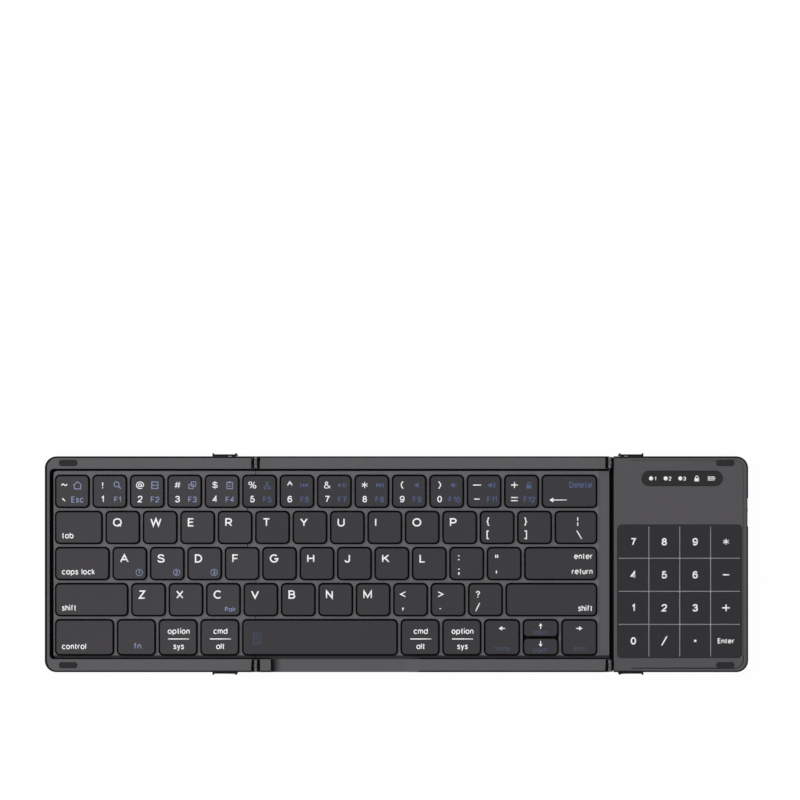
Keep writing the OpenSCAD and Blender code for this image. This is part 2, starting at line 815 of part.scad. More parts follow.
board_w = 50;
board_d = 32;
board_x = right_x - wall - 0.4 - board_w / 2;
board_y = rear_y - wall - 1 - board_d / 2;
board_z = parting_z - 1.9;
board_t = 0.8;
lamp_pitch = 6.65;
module main_circuit_board() {
    color([0.1, 0.3, 0.2]) {
        difference() {
            intersection() {
                inset_block(0.4, board_z, board_z + board_t);
                box(board_x - board_w / 2, board_x + board_w / 2, board_y - board_d / 2,
                    board_y + board_d / 2, 0, far);
            }
            box(socket_x - socket_l - 0.2, far, socket_y - socket_w / 2 - 0.2,
                socket_y + socket_w / 2 + 0.2, 0, far);
        }
        for (i = [-2:2])
            box(window_x + i * lamp_pitch - 0.8, window_x + i * lamp_pitch + 0.8,
                window_y - 0.8, window_y + 0.8, board_z + board_t, rail_z - 2.2);
        box(board_x - 14, board_x - 7, board_y - 8, board_y - 1, board_z + board_t, board_z + board_t + 1);
        box(board_x - 2, board_x + 2, board_y - 7, board_y - 3, board_z + board_t, board_z + board_t + 1);
        // body of the power switch
        difference() {
            box(right_x - wall - 4.6, right_x - wall - 0.4, switch_y - 4.3, switch_y + 4.3,
                board_z + board_t, switch_z + 1.4);
            slider_block(0.1, switch_travel);
        }
    }
}

module battery() {
    stand_end = fold_r + right_stand_at + stand_w + 1;
    color([0.75, 0.75, 0.77])
        translate([(stand_end + right_x - wall) / 2, front_y + wall + 24, floor_z + 0.1])
        bevel_block(40, 42, 3.6, 1.5, 0.4, 0.4);
}

// Power switch in the right edge
switch_y = 23.6;
switch_z = parting_z;
knob_w = 1.8;
switch_deep = 0.6;
module switch_opening() {
    box(right_x - switch_deep, right_x + 1, switch_y - switch_recess / 2, switch_y + switch_recess / 2,
        switch_z - 1.5, far);
    box(right_x - wall - 1, right_x, switch_y - knob_w / 2 - switch_travel / 2 - 0.2,
        switch_y + knob_w / 2 + switch_travel / 2 + 0.2, switch_z - 0.8, switch_z + 0.8);
}

module slider_block(gap, travel) {
    box(right_x - wall - 3.6 - gap, right_x - wall - 0.4 + (gap > 0 ? 1 : 0),
        switch_y + switch_travel / 2 - 1.4 - gap - travel, switch_y + switch_travel / 2 + 1.4 + gap,
        switch_z - 0.7 - gap, switch_z + 0.7 + gap);
}

module power_switch_slider() {
    color(rubber_black) {
        slider_block(0, 0);
        translate([right_x - wall - 0.5, switch_y + switch_travel / 2 - knob_w / 2, switch_z - 0.7])
            cube([wall + 0.45, knob_w, 1.4]);
    }
}

// Charging socket in the right edge
socket_y = 6;
socket_z = parting_z;
socket_l = 7.35;
socket_x = right_x - 0.2;
module socket_tube(x0, x1, w, h) {
    translate([x0, socket_y, socket_z]) rotate([90, 0, 90])
        linear_extrude(x1 - x0) round_rect(w, h, h / 2 - eps);
}

module socket_opening() {
    socket_tube(right_x - wall - 2, right_x + 1, socket_w + 0.2, socket_h + 0.2);
}

module charging_socket() {
    color(steel) {
        difference() {
            socket_tube(socket_x - socket_l, socket_x, socket_w, socket_h);
            socket_tube(socket_x - socket_l + 1.2, socket_x + 1, socket_w - 0.6, socket_h - 0.6);
        }
        box(socket_x - socket_l + 1, socket_x - 0.6, socket_y - 3.35, socket_y + 3.35,
            socket_z - 0.35, socket_z + 0.35);
    }
}

// ---------- feet, bumpers and stands ----------

foot_deep = 0.5;
CENTER_FEET = [for (x = [fold_l + 16, fold_r - 16], y = [-1, 1] * (rear_y - 7)) [x, y]];
LEFT_FEET = [for (y = [-1, 1] * (rear_y - 7)) [left_x + 14, y]];
RIGHT_FEET = [for (y = [-1, 1] * (rear_y - 7)) [right_x - 14, y]];
module foot_pockets(list) {
    for (p = list) translate([p[0], p[1], -1]) linear_extrude(bottom_z + foot_deep + 1)
        round_rect(foot_len + 0.1, foot_w + 0.1, foot_w / 2);
}

module feet(list) {
    color(rubber_black) for (p = list) translate([p[0], p[1], 0])
        linear_extrude(bottom_z + foot_deep) round_rect(foot_len, foot_w, foot_w / 2 - eps);
}

bumper_len = 8.2;
bumper_w = 2.6;
bumper_rise = 0.2;
bumper_deep = 0.8;
bumper_y = [rear_y - 3.0, front_y + 3.2];
left_bumper_x = left_x + 10.7;
right_bumper_x = right_x - 10.4;
module bumper_pocket(x, y) {
    translate([x, y, rail_z - bumper_deep]) linear_extrude(far)
        round_rect(bumper_len + 0.1, bumper_w + 0.1, bumper_w / 2);
}

module bumpers(x) {
    color(rubber_black) for (y = bumper_y) translate([x, y, rail_z - bumper_deep])
        bevel_block(bumper_len, bumper_w, bumper_deep + bumper_rise, bumper_w / 2 - eps, 0.15);
}

// A stand is a flat bar under the panel with a cheek at the front and at the rear edge.
// edge_x is its side next to the fold, and dir points away from the fold.
stand_pivot_in = 1.9;
stand_pivot_z = bottom_z + 2.3;
stub_r = 0.9;
cheek_t = 0.8;
horn = 0.5;
bar_start = 2.6;
stand_play = 0.1;

module stand_bar(edge_x, dir, grow, z0, z1) {
    near = edge_x + dir * (stand_pivot_in + bar_start - grow);
    tip = edge_x + dir * (stand_w + grow / 4);
    box(min(near, tip), max(near, tip), front_y - 1, rear_y + 1, z0, z1);
}

module stand_room(edge_x, dir) {
    stand_bar(edge_x, dir, 1.2, -1, bottom_z + stand_t + 0.15);
    pivot_x = edge_x + dir * stand_pivot_in;
    y_bar(pivot_x, stand_pivot_z, stub_r + pin_play, front_y - 1, front_y + wall + 0.6);
    y_bar(pivot_x, stand_pivot_z, stub_r + pin_play, rear_y - wall - 0.6, rear_y + 1);
}

// Shallow round notch that lets a fingertip under the stand's bar
notch_r = 6;
notch_deep = 0.5;
module thumb_notch(edge_x, dir) {
    translate([edge_x + dir * stand_w, 0, -1]) cylinder(r = notch_r, h = 1 + bottom_z + notch_deep);
}

// Raised ceiling over the stand's bed inside the bottom cover
module stand_bed(edge_x, dir) {
    intersection() {
        stand_bar(edge_x, dir, 1.8, floor_z - eps, bottom_z + stand_t + 0.7);
        box(-far, far, front_y + 0.2, rear_y - 0.2, -far, far);
    }
}

module stand(edge_x, dir) {
    pivot_x = edge_x + dir * stand_pivot_in;
    cheek_low = bottom_z + 0.05;
    color(rubber_black) {
        difference() {
            stand_bar(edge_x, dir, 0, cheek_low, bottom_z + 0.05 + stand_t);
            for (side = [-1, 1]) translate([0, side * (rear_y + 1 + cheek_t / 2 + stand_play), 0])
                box(-far, far, -1, 1, 0, far);
        }
        for (side = [-1, 1]) {
            y0 = side > 0 ? rear_y + stand_play : front_y - stand_play - cheek_t;
            // cheek with a round end about the pivot
            translate([0, y0 + cheek_t, 0]) rotate([90, 0, 0]) linear_extrude(cheek_t) {
                translate([pivot_x, stand_pivot_z]) circle(stand_pivot_in);
                translate([min(pivot_x, edge_x + dir * stand_w), cheek_low])
                    square([stand_w - stand_pivot_in, 2.6]);
            }
            // horns at both ends of the cheek
            for (at = [edge_x + dir * 0.9, edge_x + dir * (stand_w - 0.4)])
                translate([at - 0.4, side > 0 ? y0 : y0 - horn, cheek_low + 1])
                    cube([0.8, cheek_t + horn, 1.6]);
            // stub that turns in the panel's edge
            y_bar(pivot_x, stand_pivot_z, stub_r,
                  side > 0 ? rear_y - wall - 0.3 : front_y - stand_play - eps,
                  side > 0 ? rear_y + stand_play + eps : front_y + wall + 0.3);
        }
    }
}

// ---------- parts that cross the folds ----------

module left_flex_cable() {
    color([0.35, 0.2, 0.05]) box(fold_l - 4.3, fold_l + 3.6, flex_mid - flex_w / 2,
        flex_mid + flex_w / 2, low_wall_z + 0.05, low_wall_z + 0.2);
}

strip_z = parting_z + 0.3;
strip_t = 0.6;
module right_hinge_strip() {
    color(rubber_black) box(fold_r - seam + 0.05, right_left - 0.05, front_y + 0.6, rear_y - 0.6,
        strip_z, strip_z + strip_t);
}

// ---------- the nodes ----------

center_top_frame();
center_bottom_cover();
center_switch_plate();
center_dome_sheet();
center_key_scissors();
feet(CENTER_FEET);  // center_feet
left_top_frame();
left_bottom_cover();
left_switch_plate();
left_dome_sheet();
left_key_scissors();
feet(LEFT_FEET);  // left_feet
bumpers(left_bumper_x);  // left_bumpers
stand(fold_l - left_stand_at, -1);  // left_stand
right_top_cover();
right_bottom_cover();
touch_number_pad();
touch_sensor_board();
indicator_window();
main_circuit_board();
battery();
charging_socket();
power_switch_slider();
feet(RIGHT_FEET);  // right_feet
bumpers(right_bumper_x);  // right_bumpers
stand(fold_r + right_stand_at, 1);  // right_stand
hinge_leaves(fold_l, 1, true, pin_r);  // left_hinge_center_leaves
hinge_leaves(fold_l, -1, false, pin_r + pin_play);  // left_hinge_panel_leaves
hinge_pins(fold_l);  // left_hinge_pins
hinge_leaves(fold_r, -1, true, pin_r);  // right_hinge_center_leaves
hinge_leaves(fold_r, 1, false, pin_r + pin_play);  // right_hinge_panel_leaves
hinge_pins(fold_r);  // right_hinge_pins
left_flex_cable();
right_hinge_strip();
for (k = KEYS) key_group(k);
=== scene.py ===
"""Looks of the tri-fold keyboard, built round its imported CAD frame. Lengths are in metres."""
import json
import math

import bmesh
import bpy
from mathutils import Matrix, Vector
from mathutils.bvhtree import BVHTree

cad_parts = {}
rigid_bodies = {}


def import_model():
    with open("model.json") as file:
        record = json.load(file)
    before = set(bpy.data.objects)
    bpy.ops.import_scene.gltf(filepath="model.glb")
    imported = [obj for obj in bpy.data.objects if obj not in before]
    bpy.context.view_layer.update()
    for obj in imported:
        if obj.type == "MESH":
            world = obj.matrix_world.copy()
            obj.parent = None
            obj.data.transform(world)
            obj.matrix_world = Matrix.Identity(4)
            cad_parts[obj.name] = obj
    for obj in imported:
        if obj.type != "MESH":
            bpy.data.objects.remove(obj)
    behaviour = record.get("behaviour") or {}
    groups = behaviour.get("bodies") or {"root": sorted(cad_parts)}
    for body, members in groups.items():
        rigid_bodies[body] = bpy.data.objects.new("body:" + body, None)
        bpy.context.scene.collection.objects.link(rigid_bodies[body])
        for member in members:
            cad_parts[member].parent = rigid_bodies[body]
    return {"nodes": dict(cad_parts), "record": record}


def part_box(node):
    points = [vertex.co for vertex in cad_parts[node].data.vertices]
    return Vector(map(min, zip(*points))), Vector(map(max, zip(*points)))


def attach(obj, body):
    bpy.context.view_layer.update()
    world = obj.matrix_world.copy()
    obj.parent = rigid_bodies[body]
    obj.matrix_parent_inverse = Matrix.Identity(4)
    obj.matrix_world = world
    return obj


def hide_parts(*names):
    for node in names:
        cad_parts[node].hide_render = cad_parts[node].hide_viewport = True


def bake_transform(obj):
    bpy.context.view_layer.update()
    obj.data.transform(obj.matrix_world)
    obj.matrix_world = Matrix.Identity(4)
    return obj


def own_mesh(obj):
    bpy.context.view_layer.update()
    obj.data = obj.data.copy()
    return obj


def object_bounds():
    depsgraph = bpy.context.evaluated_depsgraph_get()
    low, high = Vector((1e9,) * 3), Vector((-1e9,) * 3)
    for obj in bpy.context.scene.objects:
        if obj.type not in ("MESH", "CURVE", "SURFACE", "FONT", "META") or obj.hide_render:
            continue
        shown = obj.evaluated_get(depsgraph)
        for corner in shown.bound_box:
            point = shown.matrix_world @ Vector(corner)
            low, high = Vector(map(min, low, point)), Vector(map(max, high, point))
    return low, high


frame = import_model()
cad_low, cad_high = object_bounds()
NODES = frame["nodes"]
BEHAVIOUR = frame["record"]["behaviour"]
BODY_OF = {node: body for body, nodes in BEHAVIOUR["bodies"].items() for node in nodes}
PARENT_OF = {joint["child"]: joint["parent"] for joint in BEHAVIOUR["joints"]}
SLOT_OF = {row["node"]: row["material_slot"] for row in frame["record"]["subparts"]}
MM = 0.001

# Places that the frame gives
FRAME_LOW, FRAME_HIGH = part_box("left_top_frame")
LEFT_X, FRONT_Y = FRAME_LOW.x, FRAME_LOW.y
REAR_Y, RAIL_Z = FRAME_HIGH.y, FRAME_HIGH.z
RIGHT_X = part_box("right_top_cover")[1].x
KEYS_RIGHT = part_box("enter_key")[1].x + 1.0 * MM
KEYS_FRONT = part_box("space_bar")[0].y - 0.3 * MM

# Sizes of the CAD's top frames
DECK_DROP = 2.2 * MM
FRONT_RAIL = 5.9 * MM
CORNER_R = 5.3 * MM
CHAMFER = 0.6 * MM
DECK_Z = RAIL_Z - DECK_DROP
DECK_FRONT = FRONT_Y + FRONT_RAIL


def place(name, data):
    """A new object in the scene."""
    obj = bpy.data.objects.new(name, data)
    bpy.context.scene.collection.objects.link(obj)
    return obj


# ---------- camera: straight down, framed as the photograph is ----------

# What the photograph's width covers and the place under its middle
PHOTO_WIDTH = 363.0 * MM
PHOTO_CENTRE = Vector((1.6 * MM, 74.6 * MM, 0))
CAMERA_HEIGHT = 3.0


def make_camera():
    data = bpy.data.cameras.new("camera")
    data.sensor_fit = "HORIZONTAL"
    data.lens = data.sensor_width * CAMERA_HEIGHT / PHOTO_WIDTH
    data.clip_end = 20
    camera = place("camera", data)
    camera.location = PHOTO_CENTRE + Vector((0, 0, CAMERA_HEIGHT + cad_high[2]))
    bpy.context.scene.camera = camera


# ---------- materials ----------


def srgb(*rgb):
    """Linear colour of an sRGB triple in 0 to 255."""
    shares = [value / 255 for value in rgb]
    linear = [c / 12.92 if c <= 0.04045 else ((c + 0.055) / 1.055) ** 2.4 for c in shares]
    return (*linear, 1.0)


def shade(colour, factor):
    return (*[min(1.0, c * factor) for c in colour[:3]], 1.0)


def new_material(name):
    material = bpy.data.materials.new(name)
    material.use_nodes = True
    return material, material.node_tree, material.node_tree.nodes["Principled BSDF"]


def new_node(tree, kind, feeds=(), values=()):
    """A node with the sockets in feeds linked to its inputs and constant values set on others."""
    node = tree.nodes.new("ShaderNode" + kind)
    for socket, value in dict(values).items():
        node.inputs[socket].default_value = value
    for socket, source in dict(feeds).items():
        tree.links.new(source, node.inputs[socket])
    return node


def noise(tree, vector, scale, detail):
    node = new_node(tree, "TexNoise", {"Vector": vector}, {"Scale": scale, "Detail": detail})
    return node.outputs["Fac"]


def ramp(tree, factor, colours, places=(0.0, 1.0)):
    node = new_node(tree, "ValToRGB", {"Fac": factor})
    for element, colour, at in zip(node.color_ramp.elements, colours, places):
        element.color, element.position = colour, at
    return node.outputs["Color"]


def multiply(tree, one, other):
    """Socket with the product of two colours."""
    mix = new_node(tree, "Mix")
    mix.data_type = "RGBA"
    mix.blend_type = "MULTIPLY"
    mix.inputs["Factor"].default_value = 1.0
    tree.links.new(one, mix.inputs["A"])
    tree.links.new(other, mix.inputs["B"])
    return mix.outputs["Result"]


def dress(tree, shader, tone, gloss, rough, relief, strength, distance):
    """Links a tone, a roughness that varies with gloss and a bump that follows relief."""
    tree.links.new(tone, shader.inputs["Base Color"])
    spread = new_node(tree, "MapRange", {"Value": gloss}, {"To Min": rough[0], "To Max": rough[1]})
    tree.links.new(spread.outputs["Result"], shader.inputs["Roughness"])
    bump = new_node(tree, "Bump", {"Height": relief}, {"Strength": strength, "Distance": distance})
    tree.links.new(bump.outputs["Normal"], shader.inputs["Normal"])


PATCH_SCALE = 55
PATCH_DEPTH = 0.04


def surface(name, rgb, rough, specular=0.3, grain=6000, depth=0.012, speckle=0.06, coat=0.0):
    """A moulded or painted surface: fine grain, tiny colour specks and slow broad variation."""
    material, tree, shader = new_material(name)
    shader.inputs["Specular IOR Level"].default_value = specular
    shader.inputs["Coat Weight"].default_value = coat
    shader.inputs["Coat Roughness"].default_value = 0.2
    where = new_node(tree, "TexCoord").outputs["Object"]
    fine = noise(tree, where, grain, 2.0)
    broad = noise(tree, where, PATCH_SCALE, 3.0)
    colour = srgb(*rgb)
    specks = ramp(tree, fine, [shade(colour, 1 - speckle), shade(colour, 1 + speckle)], (0.3, 0.7))
    patches = ramp(tree, broad, [(1 - PATCH_DEPTH,) * 3 + (1,), (1, 1, 1, 1)])
    dress(tree, shader, multiply(tree, specks, patches), broad, (rough - 0.05, rough + 0.05),
          fine, 0.5, depth * MM)
    return material


def paint_shade_towards(material, x_dark, x_lit, darkest):
    """Paints shade on a surface along X, darkest in the deep corner at x_dark."""
    tree = material.node_tree
    base = tree.nodes["Principled BSDF"].inputs["Base Color"]
    where = new_node(tree, "TexCoord").outputs["Object"]
    along = new_node(tree, "SeparateXYZ", {"Vector": where}).outputs["X"]
    span = new_node(tree, "MapRange", {"Value": along},
                    {"From Min": x_dark, "From Max": x_lit, "To Min": darkest, "To Max": 1.0})
    span.interpolation_type = "SMOOTHSTEP"
    tree.links.new(multiply(tree, base.links[0].from_socket, span.outputs["Result"]), base)
    return material


def metal(name, rgb, rough, stretch=(1, 60, 1)):
    """Brushed metal: noise drawn out along one axis."""
    material, tree, shader = new_material(name)
    shader.inputs["Metallic"].default_value = 1.0
    where = new_node(tree, "TexCoord").outputs["Object"]
    drawn = new_node(tree, "Mapping", {"Vector": where}, {"Scale": stretch}).outputs["Vector"]
    lines = noise(tree, drawn, 300, 4.0)
    colour = srgb(*rgb)
    dress(tree, shader, ramp(tree, lines, [shade(colour, 0.85), shade(colour, 1.1)]),
          lines, (rough - 0.08, rough + 0.1), lines, 0.3, 0.01 * MM)
    return material


PAINT = {"rough": 0.55, "specular": 0.25, "speckle": 0.10}
CAP = {"rough": 0.5, "specular": 0.2, "grain": 5000, "speckle": 0.08}
INK = {"rough": 0.55, "specular": 0.2, "depth": 0.002}
# Where the painted shade in the finger scoop is darkest, and where it has faded out
SCOOP_DARK, SCOOP_LIT = -56.7 * MM, -51.9 * MM

BODY = surface("body_paint", (87, 85, 88), **PAINT)
# The deck's grey, lightened round the keys as a painted highlight on the webs; the margin has the
# plain grey
DECK_PAINT_AND_HIGHLIGHT = surface("deck_paint_and_painted_highlight", (104, 102, 106), **PAINT)
MARGIN = surface("margin_paint", (87, 86, 89), **PAINT)
LID = surface("lid_paint", (80, 78, 81), **PAINT)
SIDE = surface("side_paint", (76, 75, 78), **PAINT)
# Dark painted shade on the deck strip between the front row of keys and the front rail
FRONT_STRIP_SHADE = surface("front_strip_painted_shade", (44, 44, 46), 0.6, specular=0.15, speckle=0.10)
# The scoop's paint, with painted shade that darkens it towards its left wall
SCOOP_PAINT_AND_SHADE = paint_shade_towards(surface("scoop_paint_and_painted_shade", (88, 87, 90), 0.55, specular=0.15, speckle=0.10),
                       SCOOP_DARK, SCOOP_LIT, 0.01)
# Dark painted shade on the outer chamfer round the top frames
EDGE_SHADE = surface("edge_painted_shade", (22, 22, 23), 0.6, specular=0.1)
# Near-black painted shade for the well walls, groove floors and other deep faces of the top frames
RECESS_SHADE = surface("recess_painted_shade", (9, 9, 10), 0.85, specular=0.05, speckle=0.2)
COVER = surface("cover_plastic", (66, 65, 67), 0.6, grain=3500, depth=0.03)
KEY = surface("key_plastic", (55, 53, 56), **CAP)
# The left panel's keycaps, lighter than the rest as painted light falling from the left
LEFT_KEY_LIT = surface("left_key_plastic_painted_light", (61, 59, 62), **CAP)
# Near-black painted shade on the keycaps' sides, lower fillets and undersides
KEY_SIDE_SHADE = surface("key_side_painted_shade", (13, 13, 14), 0.6, specular=0.1, grain=5000)
PAD = surface("pad_surface", (43, 41, 44), 0.42, specular=0.2, grain=9000, speckle=0.12)
WINDOW = surface("window_plastic", (31, 30, 32), 0.25, depth=0.003, coat=0.2)
RUBBER = surface("rubber", (43, 43, 45), 0.8, specular=0.15, grain=2500, depth=0.04)
STAND = surface("stand_plastic", (22, 22, 23), 0.5, specular=0.2, grain=3500)
# Near black: the paint of the right hinge strip, and painted shade on the sides of the hinge leaves
DARK_STRIP_AND_SHADE = surface("dark_strip_and_painted_shade", (8, 8, 9), 0.8, specular=0.05, grain=2500)
# Grey given only to the up-facing tops of the hinge barrels, as a painted highlight
BARREL_HIGHLIGHT = surface("hinge_paint_and_painted_highlight", (88, 87, 90), 0.45)
STEEL = metal("steel", (150, 150, 154), 0.35)
SHELL = metal("socket_shell", (185, 186, 190), 0.25)
LINK = surface("link_plastic", (190, 188, 182), 0.45)
DOME = surface("dome_rubber", (52, 52, 54), 0.6)
SHEET = surface("contact_sheet", (20, 20, 22), 0.5, specular=0.2)
BOARD = surface("circuit_board", (22, 70, 44), 0.4, grain=900, coat=0.4)
FOIL = metal("battery_foil", (178, 179, 184), 0.45, stretch=(8, 8, 8))
WHITE = surface("white_mark", (249, 249, 251), speckle=0.01, **INK)
BLUE = surface("blue_mark", (138, 148, 184), speckle=0.03, **INK)
DIM_BLUE = surface("dim_blue_mark", (84, 98, 138), speckle=0.03, **INK)
FAINT_BLUE = surface("faint_blue_mark", (72, 80, 104), speckle=0.03, **INK)
LINE = surface("grey_mark", (215, 214, 217), speckle=0.02, **INK)


# ---------- mesh helpers ----------

SMOOTH_ANGLE = math.radians(35)
SHARP_ANGLE = math.radians(30)
CORNER_STEPS = 6
LATHE_STEPS = 20


def add_object(name, bm, materials, body=None, replaces=(), slot=None, even=False):
    """Makes an object from bm, smooth but for its sharp edges, riding on a body if one is given."""
    for face in bm.faces:
        face.smooth = True
    for edge in bm.edges:
        if len(edge.link_faces) != 2 or edge.calc_face_angle(0) > SMOOTH_ANGLE:
            edge.smooth = False
    mesh = bpy.data.meshes.new(name)
    bm.to_mesh(mesh)
    bm.free()
    for material in materials:
        mesh.materials.append(material)
    obj = place(name, mesh)
    if body:
        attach(obj, body)
    if replaces:
        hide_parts(*replaces)
    if even:
        obj.modifiers.new("even_normals", "WEIGHTED_NORMAL").keep_sharp = True
    return obj


def cad_bmesh(node):
    """The node's CAD mesh, welded."""
    bm = bmesh.new()
    bm.from_mesh(NODES[node].data)
    bmesh.ops.remove_doubles(bm, verts=bm.verts, dist=1e-6)
    return bm


def soften(bm, width):
    """Rounds the sharp edges of bm, all but those at a corner with an edge shorter than width."""
    shortest = {v: min(e.calc_length() for e in v.link_edges) for v in bm.verts}
    edges = [e for e in bm.edges if len(e.link_faces) == 2 and e.calc_face_angle(0) > SHARP_ANGLE
             and min(shortest[v] for v in e.verts) >= width]
    bmesh.ops.bevel(bm, geom=edges, offset=width, segments=2, profile=0.5,
                    affect="EDGES", clamp_overlap=False)


def score(bm, at, way):
    """Adds edges to bm where the plane through at, square to way, crosses it."""
    bmesh.ops.bisect_plane(bm, geom=bm.verts[:] + bm.edges[:] + bm.faces[:], plane_co=at,
                           plane_no=way, dist=1e-7)


def islands(bm):
    """The verts of each separate solid of bm."""
    seen = set()
    for start in bm.verts:
        if start in seen:
            continue
        seen.add(start)
        stack, found = [start], []
        while stack:
            vert = stack.pop()
            found.append(vert)
            for edge in vert.link_edges:
                other = edge.other_vert(vert)
                if other not in seen:
                    seen.add(other)
                    stack.append(other)
        yield found


def box_of(verts):
    """Lowest and highest corner of some verts."""
    return (Vector([min(v.co[i] for v in verts) for i in range(3)]),
            Vector([max(v.co[i] for v in verts) for i in range(3)]))


def middle_of(low, high):
    return (low.x + high.x) / 2, (low.y + high.y) / 2


def loose_parts(node):
    """Box of each separate solid in a CAD node, from left to right."""
    bm = cad_bmesh(node)
    boxes = [box_of(verts) for verts in islands(bm)]
    bm.free()
    return sorted(boxes, key=lambda b: (round(b[0].x, 4), round(b[0].y, 4)))


def slab(bm, low, high):
    """A closed box."""
    size = high - low
    middle = (low + high) / 2
    for vert in bmesh.ops.create_cube(bm, size=1.0)["verts"]:
        vert.co = Vector([vert.co[i] * size[i] + middle[i] for i in range(3)])


def ring(bm, x, y, w, d, r, z):
    """Verts of a rounded rectangle, counter-clockwise from above; z is a height or gives one."""
    r = max(0.02 * MM, min(r, w / 2, d / 2))
    verts = []
    for quarter, (sx, sy) in enumerate(((1, 1), (-1, 1), (-1, -1), (1, -1))):
        for step in range(CORNER_STEPS + 1):
            angle = math.pi / 2 * (quarter + step / CORNER_STEPS)
            at = (x + sx * (w / 2 - r) + r * math.cos(angle),
                  y + sy * (d / 2 - r) + r * math.sin(angle))
            verts.append(bm.verts.new((*at, z(at) if callable(z) else z)))
    return verts


def bridge(bm, low, high, material=0):
    """Faces between two rings of as many verts."""
    for i in range(len(low)):
        bm.faces.new((low[i - 1], low[i], high[i], high[i - 1])).material_index = material


def lathe(bm, x, y, profile):
    """A solid turned about the upright line through x, y; profile runs from rim to middle."""
    turns = [2 * math.pi * i / LATHE_STEPS for i in range(LATHE_STEPS)]
    rings = [[bm.verts.new((x + r * math.cos(a), y + r * math.sin(a), z)) for a in turns]
             for r, z in profile]
    for lower, upper in zip(rings, rings[1:]):
        bridge(bm, lower, upper)
    bm.faces.new(rings[-1])
    bm.faces.new(rings[0][::-1])


# ---------- marks: letters and signs as thin raised prints ----------

MARK_LOW = -0.03 * MM
MARK_HIGH = 0.012 * MM
LIFT = 0.0005 * MM
LIFTS = 8
FINE_SIGNS = "@#$%&*"
FINE_PEN = 0.7
PLAIN_INK, TINTED_INK = 0, 1


def corners(x0, y0, x1, y1):
    return (x0, y0), (x1, y0), (x1, y1), (x0, y1)


class Marks:
    """Collects the printed strokes of one piece, which follow the surface under them."""

    def __init__(self, height_at):
        self.bm = bmesh.new()
        self.height_at = height_at
        self.count = 0

    def _row(self, outline, height):
        """Verts over the surface, a hair higher than the last stroke's, so strokes may cross."""
        lift = height + self.count % LIFTS * LIFT
        return [self.bm.verts.new((x, y, self.height_at(x, y) + lift)) for x, y in outline]

    def _close(self, faces, ink):
        for verts in faces:
            self.bm.faces.new(verts).material_index = ink

    def prism(self, outline, ink=PLAIN_INK):
        """A thin block with a convex outline that runs counter-clockwise."""
        self.count += 1
        low, high = self._row(outline, MARK_LOW), self._row(outline, MARK_HIGH)
        walls = [(low[i - 1], low[i], high[i], high[i - 1]) for i in range(len(low))]
        self._close([high, low[::-1]] + walls, ink)

    def box(self, x0, y0, x1, y1, ink=PLAIN_INK):
        self.prism(corners(x0, y0, x1, y1), ink)

    def line(self, points, width, ink=PLAIN_INK, closed=False):
        """A stroke of even width through points, with a mitre at each corner."""
        self.count += 1
        places = [Vector(p) for p in points]
        count = len(places)
        left, right = [], []
        for i, here in enumerate(places):
            into = here - places[i - 1] if closed or i else places[1] - here
            out = places[(i + 1) % count] - here if closed or i < count - 1 else into
            into, out = into.normalized(), out.normalized()
            side = Vector((-(into + out).y, (into + out).x)).normalized()
            reach = width / 2 / max(0.35, side.dot(Vector((-into.y, into.x))))
            left.append(here + side * reach)
            right.append(here - side * reach)
        ll, lh = self._row(left, MARK_LOW), self._row(left, MARK_HIGH)
        rl, rh = self._row(right, MARK_LOW), self._row(right, MARK_HIGH)
        faces = []
        for i in range(count if closed else count - 1):
            j = (i + 1) % count
            faces += [(rh[i], rh[j], lh[j], lh[i]), (ll[i], ll[j], rl[j], rl[i]),
                      (lh[i], lh[j], ll[j], ll[i]), (rl[i], rl[j], rh[j], rh[i])]
        if not closed:
            faces += [(ll[0], rl[0], rh[0], lh[0]), (rl[-1], ll[-1], lh[-1], rh[-1])]
        self._close(faces, ink)

    def text(self, words, x, y, height, ink=PLAIN_INK, align="CENTER", bold=0.17, wide=1.0,
             gap=0.11):
        """Words with capitals of some height, centred on y; wide stretches them sideways."""
        thick = bold * height
        scale = height - thick
        widths = [GLYPHS[char][0] * scale * wide + thick for char in words]
        total = sum(widths) + gap * height * (len(words) - 1)
        left = x - total * {"LEFT": 0, "CENTER": 0.5, "RIGHT": 1}[align]
        base = y - height / 2 + thick / 2
        for char, width in zip(words, widths):
            pen = thick * (FINE_PEN if char in FINE_SIGNS else 1)
            for stroke in GLYPHS[char][1]:
                points = [(left + thick / 2 + px * scale * wide, base + py * scale)
                          for px, py in stroke]
                closed = (Vector(points[0]) - Vector(points[-1])).length < 1e-7
                self.line(points[:-1] if closed else points, pen, ink, closed)
            left += width + gap * height


STROKE = 0.4 * MM


class Icon:
    """A small sign on some marks, drawn in millimetres from its middle; pen is in strokes."""

    def __init__(self, marks, x, y, ink=TINTED_INK):
        self.marks, self.x, self.y, self.ink = marks, x, y, ink

    def _at(self, points):
        return [(self.x + x * MM, self.y + y * MM) for x, y in points]

    def line(self, *points, pen=1.0, closed=False):
        self.marks.line(self._at(points), pen * STROKE, self.ink, closed)

    def shape(self, *points):
        """A filled convex outline that runs counter-clockwise."""
        self.marks.prism(self._at(points), self.ink)

    def frame(self, *ends, pen=1.0):
        self.line(*corners(*ends), pen=pen, closed=True)

    def box(self, *ends):
        self.shape(*corners(*ends))

    def curve(self, x, y, r, start=0, end=360, steps=20, pen=1.0):
        points = arc(x, y, r, r, start, end, steps)
        whole = end - start == 360
        self.line(*(points[:-1] if whole else points), pen=pen, closed=whole)

    def text(self, words, x, y, height, **style):
        self.marks.text(words, *self._at([(x, y)])[0], height * MM, self.ink, **style)


# ---------- the shapes of letters and signs ----------


def arc(cx, cy, rx, ry, start, end, steps=8):
    angles = [math.radians(start + (end - start) * i / steps) for i in range(steps + 1)]
    return [(cx + rx * math.cos(a), cy + ry * math.sin(a)) for a in angles]


def oval(cx, cy, rx, ry, steps):
    return arc(cx, cy, rx, ry, 0, 360, steps)


